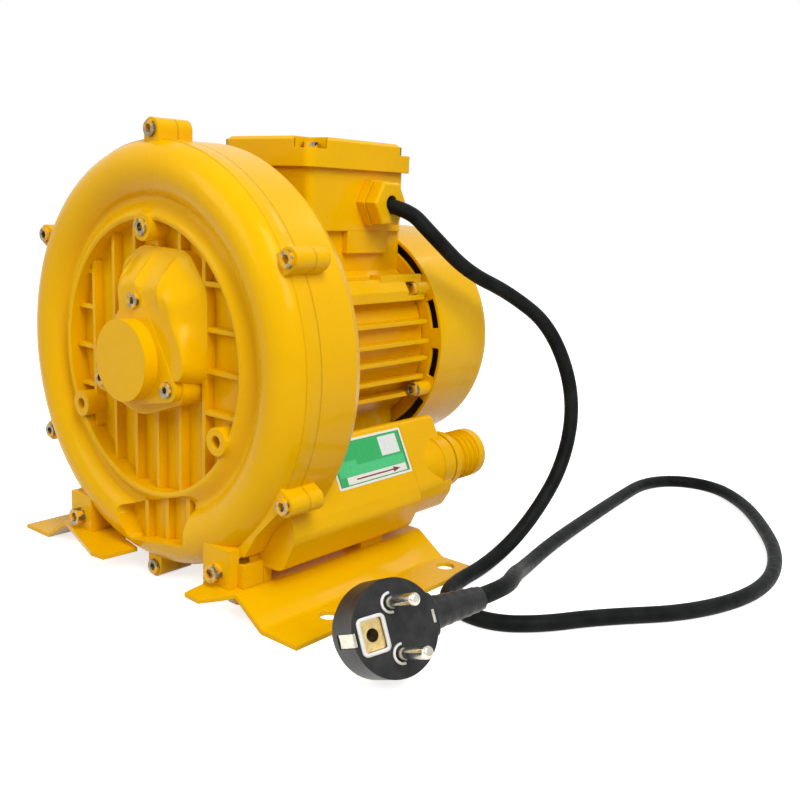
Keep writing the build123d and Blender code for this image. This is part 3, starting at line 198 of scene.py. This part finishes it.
def object_noise(tree, scale, detail=3.0, stretch=(1, 1, 1)):
    """Noise on the piece's own coordinates, in waves per metre."""
    place = tree.nodes.new("ShaderNodeTexCoord")
    mapping = tree.nodes.new("ShaderNodeMapping")
    mapping.inputs["Scale"].default_value = stretch
    noise = tree.nodes.new("ShaderNodeTexNoise")
    noise.inputs["Scale"].default_value = scale
    noise.inputs["Detail"].default_value = detail
    tree.links.new(place.outputs["Object"], mapping.inputs["Vector"])
    tree.links.new(mapping.outputs["Vector"], noise.inputs["Vector"])
    return noise.outputs["Fac"]


def colour_ramp(tree, factor, stops):
    """Colours at these positions of the factor, blended in between."""
    ramp = tree.nodes.new("ShaderNodeValToRGB")
    while len(ramp.color_ramp.elements) < len(stops):
        ramp.color_ramp.elements.new(0.5)
    for element, (position, colour) in zip(ramp.color_ramp.elements, stops):
        element.position = position
        element.color = (*colour, 1.0)
    tree.links.new(factor, ramp.inputs["Fac"])
    return ramp.outputs["Color"]


def bumped(tree, shader, height, distance, strength=1.0, soft_edge=0.0):
    """Height in units of distance metres, over edges softened by soft_edge metres."""
    bump = tree.nodes.new("ShaderNodeBump")
    bump.inputs["Distance"].default_value = distance
    bump.inputs["Strength"].default_value = strength
    tree.links.new(height, bump.inputs["Height"])
    if soft_edge:
        bevel = tree.nodes.new("ShaderNodeBevel")
        bevel.samples = 6
        bevel.inputs["Radius"].default_value = soft_edge
        tree.links.new(bevel.outputs["Normal"], bump.inputs["Normal"])
    tree.links.new(bump.outputs["Normal"], shader.inputs["Normal"])


rubber, tree, shader = new_material("black_rubber_sheath")
tree.links.new(colour_ramp(tree, object_noise(tree, 90.0),
                           [(0.35, (0.006, 0.007, 0.007)), (0.65, (0.013, 0.015, 0.015))]),
               shader.inputs["Base Color"])
tree.links.new(colour_ramp(tree, object_noise(tree, 260.0),
                           [(0.3, (0.40,) * 3), (0.7, (0.55,) * 3)]), shader.inputs["Roughness"])
bumped(tree, shader, object_noise(tree, 2600.0, 2.0), 0.00008)
shader.inputs["Specular IOR Level"].default_value = 0.05
line.materials.append(rubber)
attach(lead, "stator")
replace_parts(lead, "mains_cord")

# ---- painted castings and sheet ----
# Aluminium castings, sheet feet and cowl, all sprayed with the same golden enamel
# once assembled, glossy with a faint orange peel.
SMALL_EDGE, CAST_EDGE = 0.0003, 0.0008


def finish_nodes(names, material):
    """Lay one material on each of these nodes."""
    for name in names:
        nodes[name].data.materials.clear()
        nodes[name].data.materials.append(material)


def plain_finish(name, dark, light, grain, rough, metal=0.0, stretch=(1, 1, 1), bump=0.0):
    """Material of two near colours and a range of roughness, over noise of one grain."""
    material, tree, shader = new_material(name)
    noise = object_noise(tree, grain, 4.0, stretch)
    tree.links.new(colour_ramp(tree, noise, [(0.35, dark), (0.65, light)]),
                   shader.inputs["Base Color"])
    low, high = rough
    tree.links.new(colour_ramp(tree, object_noise(tree, grain * 0.4, 3.0, stretch),
                               [(0.3, (low,) * 3), (0.7, (high,) * 3)]),
                   shader.inputs["Roughness"])
    shader.inputs["Metallic"].default_value = metal
    if bump:
        bumped(tree, shader, object_noise(tree, grain * 3.0, 3.0, stretch), bump,
               strength=0.6, soft_edge=SMALL_EDGE)
    return material, tree, shader


def enamel_finish(name, dark, light, soft_edge):
    """Sprayed enamel between two near colours, with edges softened by soft_edge metres."""
    material, tree, shader = new_material(name)
    tree.links.new(colour_ramp(tree, object_noise(tree, 14.0, 5.0), [(0.30, dark), (0.70, light)]),
                   shader.inputs["Base Color"])
    tree.links.new(colour_ramp(tree, object_noise(tree, 60.0, 4.0),
                               [(0.3, (0.22,) * 3), (0.7, (0.34,) * 3)]),
                   shader.inputs["Roughness"])
    bumped(tree, shader, object_noise(tree, 420.0, 2.0), 0.0002, 0.45, soft_edge)
    shader.inputs["Specular IOR Level"].default_value = 0.10
    shader.inputs["Specular Tint"].default_value = (1.0, 0.74, 0.10, 1.0)
    shader.inputs["Coat Weight"].default_value = 0.10
    shader.inputs["Coat Roughness"].default_value = 0.06
    return material


ENAMEL_DARK, ENAMEL_LIGHT = (0.800, 0.425, 0.000), (0.870, 0.495, 0.000)
enamel = enamel_finish("golden_enamel", ENAMEL_DARK, ENAMEL_LIGHT, CAST_EDGE)
finish_nodes(("front_cover", "bearing_cap", "rear_casing", "silencer_cover_left",
              "silencer_cover_right", "hose_barb_left", "hose_barb_right", "motor_frame",
              "end_shield", "fan_cowl", "terminal_box", "terminal_lid", "foot_left",
              "foot_right", "cable_gland", "gland_nut"), enamel)

# ---- swelling round the bearing cap ----
# Part of the cover casting: above and beside the bearing cap the metal rises softly from
# the ribs to the flange of the cap, and the ribs run on over it as low ridges.
AXIS_Z, DISH_FLOOR_Y, RIB_FACE_Y, CAP_FLANGE_Y = 105.5, -60.6, -65.2, -76.2
SWELL_EDGE = ((37.4, -7), (37.4, 33), (25, 49), (-8, 50), (-24, 40), (-20, 14), (22, -9))
SWELL_MIDDLE = Vector((8.0, 19.0))
TOP_SLOPE, SIDE_SLOPE, FOOT_SLOPE = 20.0, 11.0, 3.0
FOOT_BLEND, CORNER_STEPS = 2.0, range(-8, 9, 2)
RIDGES, RIDGE_HALF, RIDGE_RISE, RIDGE_GROWTH = (-14.2, 2.2, 18.6), 1.5, 1.2, 4.0
RIDGE_FOOT_Z, RIDGE_FADE, FOOT_BEND_X, FOOT_FALL = 30.0, 8.0, 10.0, 0.9
RINGS, SPOKES, WELD = 40, 200, 0.001


def add_piece(mesh, name, body):
    """Piece of this mesh that rides on a body and takes one material slot."""
    piece = bpy.data.objects.new(name, mesh)
    scene.collection.objects.link(piece)
    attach(piece, body)
    return piece


def swell_reach(angle):
    """Distance in mm from the middle of the swelling to its edge on this bearing."""
    way = Vector((math.cos(angle), math.sin(angle)))
    reach = []
    for start, end in zip(SWELL_EDGE, SWELL_EDGE[1:] + SWELL_EDGE[:1]):
        outward = Vector((end[1] - start[1], start[0] - end[0]))
        if outward.dot(way) > 0:
            reach.append(outward.dot(Vector(start) - SWELL_MIDDLE) / outward.dot(way))
    return min(reach)


def round_reach(angle):
    """The same with the corners rounded off, as the mean over a few degrees."""
    return (sum(swell_reach(angle + math.radians(step)) for step in CORNER_STEPS)
            / len(CORNER_STEPS))


# The grid is wrapped round: one way goes round the middle and the other out to the edge,
# where the last ring of points is the foot of the wall on the floor of the dish.
swelling = bmesh.new()
bmesh.ops.create_grid(swelling, x_segments=RINGS, y_segments=SPOKES, size=1.0)
for vert in swelling.verts:
    angle = (vert.co.y + 1.0) * math.pi
    ring = (vert.co.x + 1.0) / 2 * RINGS / (RINGS - 1)
    reach = round_reach(angle)
    x, z = SWELL_MIDDLE + Vector((math.cos(angle), math.sin(angle))) * reach * min(ring, 1.0)
    steep = min(max(-FOOT_BLEND * math.sin(angle), 0.0), 1.0)
    slope = SIDE_SLOPE + (TOP_SLOPE - SIDE_SLOPE) * max(math.sin(angle), 0.0)
    slope += (FOOT_SLOPE - slope) * steep
    up = min((1.0 - min(ring, 1.0)) * reach / slope, 1.0)
    up = up * up * (3 - 2 * up)
    near = min(abs(x - ridge) for ridge in RIDGES) / RIDGE_HALF
    above_foot = z - RIDGE_FOOT_Z + max(x - FOOT_BEND_X, 0.0) * FOOT_FALL
    fade = min(max(above_foot / RIDGE_FADE, 0.0), 1.0)
    ridge = RIDGE_RISE * max(1.0 - near * near, 0.0) * min(up * RIDGE_GROWTH, 1.0) * fade
    y = RIB_FACE_Y + (CAP_FLANGE_Y - RIB_FACE_Y) * up - ridge
    wall_foot = ring > 1.0 + WELD
    vert.co = (x, DISH_FLOOR_Y if wall_foot else y, AXIS_Z + z)
bmesh.ops.remove_doubles(swelling, verts=swelling.verts, dist=WELD)
bmesh.ops.recalc_face_normals(swelling, faces=swelling.faces)
bmesh.ops.scale(swelling, verts=swelling.verts, vec=(MM, MM, MM))
mesh = bpy.data.meshes.new("cap_swelling")
swelling.to_mesh(mesh)
swelling.free()
mesh.polygons.foreach_set("use_smooth", [True] * len(mesh.polygons))
mesh.set_sharp_from_angle(angle=math.radians(50))
mesh.materials.append(enamel)
add_piece(mesh, "cap_swelling", "stator")

# The casting's own flat step is let down under the swelling, all but STEP_LEFT mm.
STEP_CORNERS, STEP_Y = ((-6.0, 41.0), (21.0, 42.7), (36.7, 29.7), (36.6, -3.8)), -72.0
STEP_LEFT, CORNER_NEAR = 0.5, 0.3
STEP_DROP = DISH_FLOOR_Y - STEP_Y - STEP_LEFT
cover = bmesh.new()
cover.from_mesh(nodes["front_cover"].data)
bmesh.ops.remove_doubles(cover, verts=cover.verts, dist=WELD * MM)
for x, z in STEP_CORNERS:
    corner = Vector((x, STEP_Y, AXIS_Z + z)) * MM
    found = [vert for vert in cover.verts if (vert.co - corner).length < CORNER_NEAR * MM]
    bmesh.ops.translate(cover, verts=found, vec=(0.0, STEP_DROP * MM, 0.0))
mesh = bpy.data.meshes.new("soft_front_cover")
cover.to_mesh(mesh)
cover.free()
mesh.materials.append(enamel)
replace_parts(add_piece(mesh, "soft_front_cover", "stator"), "front_cover")

# ---- gaskets and shaft seal ----
# Both flat gaskets were sprayed with the castings, so only a dull line shows at the
# cover. The seal of the shaft is bare rubber.
finish_nodes(["cover_gasket"], enamel_finish("painted_gasket", (0.60, 0.30, 0.0),
                                             (0.70, 0.37, 0.0), 0.0002))
finish_nodes(["lid_gasket"], enamel)
finish_nodes(["shaft_seal"],
             plain_finish("gasket_rubber", (0.018, 0.018, 0.018), (0.040, 0.038, 0.036),
                          300.0, (0.6, 0.8), bump=0.0001)[0])

# ---- screws, washers and bolts ----
# Zinc plated steel, driven before spraying, so the enamel lies on them in patches and
# has worn off the heads. On the cover side the heads stand only a little proud.
def overlaid(tree, below, mask, colour):
    """Colour over what is below, a socket or a colour, where the mask is 1."""
    coat = tree.nodes.new("ShaderNodeMix")
    coat.data_type = "RGBA"
    tree.links.new(mask, coat.inputs["Factor"])
    if isinstance(below, tuple):
        coat.inputs["A"].default_value = (*below, 1.0)
    else:
        tree.links.new(below, coat.inputs["A"])
    coat.inputs["B"].default_value = (*colour, 1.0)
    return coat.outputs["Result"]


zinc, tree, shader = plain_finish("zinc_plate", (0.16, 0.15, 0.11), (0.32, 0.30, 0.23),
                                  500.0, (0.30, 0.48), 1.0, bump=0.00005)
bare = shader.inputs["Base Color"].links[0].from_socket
patch = colour_ramp(tree, object_noise(tree, 230.0, 2.0), [(0.47, (0.0,) * 3), (0.56, (1.0,) * 3)])
tree.links.new(overlaid(tree, bare, patch, ENAMEL_DARK), shader.inputs["Base Color"])
clear = tree.nodes.new("ShaderNodeMath")
clear.operation = "SUBTRACT"
clear.inputs[0].default_value = 1.0
tree.links.new(patch, clear.inputs[1])
tree.links.new(clear.outputs["Value"], shader.inputs["Metallic"])
finish_nodes(("bearing_cap_screws", "cover_screws", "foot_lug_screws", "dish_plug_screw",
              "silencer_cover_screws", "motor_screws", "cowl_screws", "lid_screws",
              "foot_bolts", "foot_washers"), zinc)


def sunk_screws(node, name, sink, shrink):
    """Copy of a node of screws that point along the shaft: each slimmer by the factor
    shrink, and its head sink mm farther in."""
    screws = bmesh.new()
    screws.from_mesh(nodes[node].data)
    bmesh.ops.remove_doubles(screws, verts=screws.verts, dist=WELD * MM)
    left = set(screws.verts)
    while left:
        screw, to_follow = set(), [left.pop()]
        while to_follow:
            vert = to_follow.pop()
            screw.add(vert)
            near = {edge.other_vert(vert) for edge in vert.link_edges} & left
            left -= near
            to_follow.extend(near)
        middle = Vector([(min(v.co[i] for v in screw) + max(v.co[i] for v in screw)) / 2
                         for i in range(3)])
        bmesh.ops.scale(screws, verts=list(screw), vec=(shrink, 1.0, shrink),
                        space=Matrix.Translation(-middle))
        head = [vert for vert in screw if vert.co.y < middle.y]
        bmesh.ops.translate(screws, verts=head, vec=(0.0, sink * MM, 0.0))
    mesh = bpy.data.meshes.new(name)
    screws.to_mesh(mesh)
    screws.free()
    mesh.materials.append(zinc)
    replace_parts(add_piece(mesh, name, "stator"), node)


sunk_screws("cover_screws", "sunk_cover_screws", sink=2.4, shrink=0.86)
sunk_screws("bearing_cap_screws", "sunk_cap_screws", sink=2.0, shrink=0.92)
sunk_screws("dish_plug_screw", "sunk_plug_screw", sink=2.4, shrink=0.86)
finish_nodes(("box_screws", "gland_locknut"),
             plain_finish("clean_zinc_plate", (0.48, 0.47, 0.43), (0.60, 0.59, 0.54),
                          400.0, (0.26, 0.40), 1.0)[0])

# ---- impeller, shaft and bearings ----
# Impeller of cast aluminium, on a ground steel shaft in two ball bearings, held by a
# key and a spring steel clip.
finish_nodes(["impeller"], plain_finish("cast_aluminium", (0.50, 0.51, 0.52), (0.68, 0.69, 0.70),
                                        220.0, (0.42, 0.60), 1.0, bump=0.0002)[0])
finish_nodes(("shaft", "impeller_key"),
             plain_finish("ground_steel", (0.42, 0.43, 0.45), (0.55, 0.56, 0.58),
                          900.0, (0.18, 0.30), 1.0, (1, 0.05, 1))[0])
finish_nodes(("impeller_circlip", "fan_circlip", "preload_spring"),
             plain_finish("oiled_spring_steel", (0.10, 0.10, 0.11), (0.20, 0.20, 0.21),
                          400.0, (0.30, 0.42), 1.0)[0])
finish_nodes(("front_bearing_inner", "front_bearing_outer", "front_bearing_balls",
              "rear_bearing_inner", "rear_bearing_outer", "rear_bearing_balls"),
             plain_finish("polished_bearing_steel", (0.62, 0.62, 0.64), (0.72, 0.72, 0.74),
                          600.0, (0.10, 0.18), 1.0)[0])

# ---- rotor and stator ----
# Stacks of thin electrical steel sheets, seen as fine lines across the shaft, one light
# and one dark for two sheets, and a winding of varnished copper wire.
# The wave texture turns WAVE_TURN radians in a metre at scale 1.
SHEET_T, WAVE_TURN = 0.0005, 20.0
laminated, tree, shader = plain_finish("laminated_steel", (0.13, 0.13, 0.14),
                                       (0.24, 0.24, 0.25), 300.0, (0.40, 0.60), 0.9)
place = tree.nodes.new("ShaderNodeTexCoord")
lines = tree.nodes.new("ShaderNodeTexWave")
lines.bands_direction = "Y"
lines.inputs["Scale"].default_value = 1.0 / SHEET_T / WAVE_TURN * math.pi
lines.inputs["Distortion"].default_value = 0.2
tree.links.new(place.outputs["Object"], lines.inputs["Vector"])
bumped(tree, shader, lines.outputs["Fac"], 0.0001, 0.7)
finish_nodes(("rotor_core", "stator_core"), laminated)
copper, _, shader = plain_finish("varnished_copper", (0.36, 0.10, 0.03), (0.62, 0.22, 0.07),
                                 160.0, (0.25, 0.45), 0.8, bump=0.0003)
shader.inputs["Coat Weight"].default_value = 0.6
finish_nodes(["stator_winding"], copper)

# ---- cooling fan ----
# Black moulded plastic fan, pushed on the rear end of the shaft and held by a clip. Its
# colour is tinted dark brown: painted yellow light, bounced inside the cowl and seen through its
# slots.
finish_nodes(["cooling_fan"], plain_finish("fan_plastic_painted_bounce", (0.050, 0.026, 0.006),
                                           (0.110, 0.058, 0.012), 240.0, (0.45, 0.62),
                                           bump=0.0001)[0])

# ---- silencer lining ----
# Open dark grey foam, cut to the inside of each duct with a round way through it for
# the air, and pressed in.
finish_nodes(("silencer_lining_left", "silencer_lining_right"),
             plain_finish("open_foam", (0.030, 0.030, 0.032), (0.110, 0.110, 0.115),
                          700.0, (0.9, 1.0), bump=0.0008)[0])

# ---- inside the terminal box ----
# Moulded terminal block in cream plastic, with brass studs, and the white plastic can
# of the run capacitor, which lies along the motor.
finish_nodes(["terminal_block"], plain_finish("cream_plastic", (0.56, 0.51, 0.42),
                                              (0.66, 0.61, 0.51), 150.0, (0.40, 0.55),
                                              bump=0.0001)[0])
brass = plain_finish("bright_brass", (0.60, 0.44, 0.17), (0.74, 0.57, 0.26),
                     500.0, (0.22, 0.36), 1.0)[0]
finish_nodes(["terminal_studs"], brass)
finish_nodes(["run_capacitor"], plain_finish("white_can", (0.66, 0.67, 0.68), (0.74, 0.75, 0.76),
                                             120.0, (0.28, 0.38))[0])

# ---- rating label ----
# Printed plastic label on the sloped side of the right duct: a green field with a
# white edge, a bare panel, and a strip with a plain arrow.
LABEL_MIDDLE = (0.07178, 0.004, 0.06034)
LABEL_TURN = Matrix(((0.0, -0.4472, 0.8944), (1.0, 0.0, 0.0), (0.0, 0.8944, 0.4472)))
label_print, tree, shader = new_material("label_print")
place = tree.nodes.new("ShaderNodeTexCoord")
laid = tree.nodes.new("ShaderNodeMapping")
laid.vector_type = "TEXTURE"
laid.inputs["Location"].default_value = LABEL_MIDDLE
laid.inputs["Rotation"].default_value = LABEL_TURN.to_euler()
laid.inputs["Scale"].default_value = (MM, MM, MM)
tree.links.new(place.outputs["Object"], laid.inputs["Vector"])
split = tree.nodes.new("ShaderNodeSeparateXYZ")
tree.links.new(laid.outputs["Vector"], split.inputs["Vector"])


def sum_node(tree, operation, *values):
    """Math node over sockets or numbers."""
    node = tree.nodes.new("ShaderNodeMath")
    node.operation = operation
    for socket, value in zip(node.inputs, values):
        if isinstance(value, (int, float)):
            socket.default_value = value
        else:
            tree.links.new(value, socket)
    return node.outputs["Value"]


def panel(x1, x2, z1, z2):
    """1 inside the panel between these millimetres on the label, else 0."""
    along = sum_node(tree, "COMPARE", split.outputs["X"], (x1 + x2) / 2, (x2 - x1) / 2)
    up = sum_node(tree, "COMPARE", split.outputs["Y"], (z1 + z2) / 2, (z2 - z1) / 2)
    return sum_node(tree, "MULTIPLY", along, up)


WHITE, GREEN, PALE_GREEN = (0.78, 0.80, 0.72), (0.010, 0.400, 0.100), (0.050, 0.530, 0.190)
DARK_GREEN, DARK_RED = (0.030, 0.200, 0.060), (0.170, 0.020, 0.020)
BARE_PANEL, ARROW_STRIP = (0.74, 0.76, 0.76), (0.78, 0.76, 0.72)
ARROW_TIP, ARROW_MIDDLE, ARROW_SLOPE = 18.0, -7.85, 0.25
ink = overlaid(tree, WHITE, panel(-24.3, 24.3, -10.1, 10.1), DARK_GREEN)
ink = overlaid(tree, ink, panel(-23.6, 23.4, -9.8, 9.8), GREEN)
ink = overlaid(tree, ink, panel(-23.0, 22.6, -5.9, -1.4), PALE_GREEN)
ink = overlaid(tree, ink, panel(-23.0, -10.0, -1.4, 1.2), PALE_GREEN)
ink = overlaid(tree, ink, panel(8.2, 21.2, -0.3, 9.0), BARE_PANEL)
ink = overlaid(tree, ink, panel(-19.0, 22.4, -9.6, -6.1), ARROW_STRIP)
ink = overlaid(tree, ink, panel(-13.0, 13.0, -8.2, -7.5), DARK_RED)
head = sum_node(tree, "SUBTRACT", ARROW_TIP, split.outputs["X"])
head = sum_node(tree, "MULTIPLY", head, ARROW_SLOPE)
off = sum_node(tree, "ABSOLUTE", sum_node(tree, "SUBTRACT", split.outputs["Y"], ARROW_MIDDLE))
head = sum_node(tree, "MULTIPLY", sum_node(tree, "LESS_THAN", off, head),
                panel(12.9, ARROW_TIP, -9.4, -6.3))
ink = overlaid(tree, ink, head, DARK_RED)
tree.links.new(ink, shader.inputs["Base Color"])
tree.links.new(colour_ramp(tree, object_noise(tree, 300.0),
                           [(0.3, (0.22,) * 3), (0.7, (0.34,) * 3)]),
               shader.inputs["Roughness"])
bumped(tree, shader, object_noise(tree, 500.0), 0.00003, 0.4)
finish_nodes(["rating_label"], label_print)

# ---- mains plug ----
# Black moulded two-pin plug with nickel pins, side earth clips, and a brass earth
# socket in a white frame. A white half collar stands at the foot of each pin.
plug_black, _, shader = plain_finish("black_plug_plastic", (0.012, 0.012, 0.014),
                                     (0.026, 0.027, 0.029), 200.0, (0.30, 0.44),
                                     bump=0.0001)
shader.inputs["Specular IOR Level"].default_value = 0.25
finish_nodes(("plug_body", "plug_strain_relief"), plug_black)
finish_nodes(("plug_pins", "plug_earth_clips"),
             plain_finish("nickel_plate", (0.52, 0.49, 0.40), (0.68, 0.66, 0.58),
                          420.0, (0.16, 0.28), 1.0)[0])
finish_nodes(["plug_earth_socket"], brass)
white_plastic = plain_finish("white_moulding", (0.68, 0.68, 0.68), (0.78, 0.78, 0.77),
                             260.0, (0.35, 0.5))[0]
PIN_REACH, COLLAR_R, COLLAR_T, COLLAR_SIDES, COLLAR_STEPS = 9.5, 3.6, 0.55, 10, 24
COLLAR_START, COLLAR_SWEEP, COLLAR_LIFT = math.radians(85), math.radians(190), 0.6
FRAME_W, FRAME_L, FRAME_T, FRAME_DEPTH = 12.0, 14.2, 1.4, 0.9
FRAME_CORNER, FRAME_AT, FRAME_LIFT = 2.2, -10.0, 0.02
plug_turn = Matrix((cord_way, pin_way.cross(cord_way), pin_way)).transposed().to_4x4()
plug_seat = Matrix.Translation(plug_at) @ plug_turn @ Matrix.Scale(MM, 4)


def plug_piece(shape, name, material):
    """Finish a bmesh in mm, drawn on the pin face, as a piece of the plug."""
    bmesh.ops.transform(shape, matrix=plug_seat, verts=shape.verts)
    bmesh.ops.recalc_face_normals(shape, faces=shape.faces)
    mesh = bpy.data.meshes.new(name)
    shape.to_mesh(mesh)
    shape.free()
    mesh.materials.append(material)
    mesh.polygons.foreach_set("use_smooth", [True] * len(mesh.polygons))
    add_piece(mesh, name, "stator")


for side, which in ((-1, "lower"), (1, "upper")):
    collar = bmesh.new()
    bmesh.ops.create_circle(collar, cap_ends=False, radius=COLLAR_T, segments=COLLAR_SIDES)
    bmesh.ops.rotate(collar, verts=collar.verts, matrix=Matrix.Rotation(math.pi / 2, 3, "X"))
    bmesh.ops.translate(collar, verts=collar.verts, vec=(COLLAR_R, 0.0, COLLAR_T * COLLAR_LIFT))
    bmesh.ops.rotate(collar, verts=collar.verts, cent=(0, 0, 0),
                     matrix=Matrix.Rotation(COLLAR_START, 3, "Z"))
    bmesh.ops.spin(collar, geom=collar.verts[:] + collar.edges[:], cent=(0, 0, 0),
                   axis=(0, 0, 1), angle=COLLAR_SWEEP, steps=COLLAR_STEPS, use_merge=False)
    bmesh.ops.holes_fill(collar, edges=collar.edges[:], sides=0)
    bmesh.ops.translate(collar, verts=collar.verts, vec=(0.0, side * PIN_REACH, 0.0))
    plug_piece(collar, f"pin_collar_{which}", white_plastic)

frame_shape = bmesh.new()
bmesh.ops.create_grid(frame_shape, x_segments=1, y_segments=1, size=0.5)
bmesh.ops.scale(frame_shape, verts=frame_shape.verts, vec=(FRAME_W, FRAME_L, 1.0))
bmesh.ops.bevel(frame_shape, geom=frame_shape.verts[:], offset=FRAME_CORNER, offset_type="OFFSET",
                segments=4, profile=0.5, affect="VERTICES", material=-1)
inset = bmesh.ops.inset_region(frame_shape, faces=frame_shape.faces[:], thickness=FRAME_T,
                               use_even_offset=True, use_boundary=True)
middle = [face for face in frame_shape.faces if face not in inset["faces"]]
bmesh.ops.delete(frame_shape, geom=middle, context="FACES")
bmesh.ops.solidify(frame_shape, geom=frame_shape.faces[:], thickness=FRAME_DEPTH)
low = min(vert.co.z for vert in frame_shape.verts)
bmesh.ops.translate(frame_shape, verts=frame_shape.verts, vec=(FRAME_AT, 0.0, FRAME_LIFT - low))
plug_piece(frame_shape, "earth_socket_frame", white_plastic)
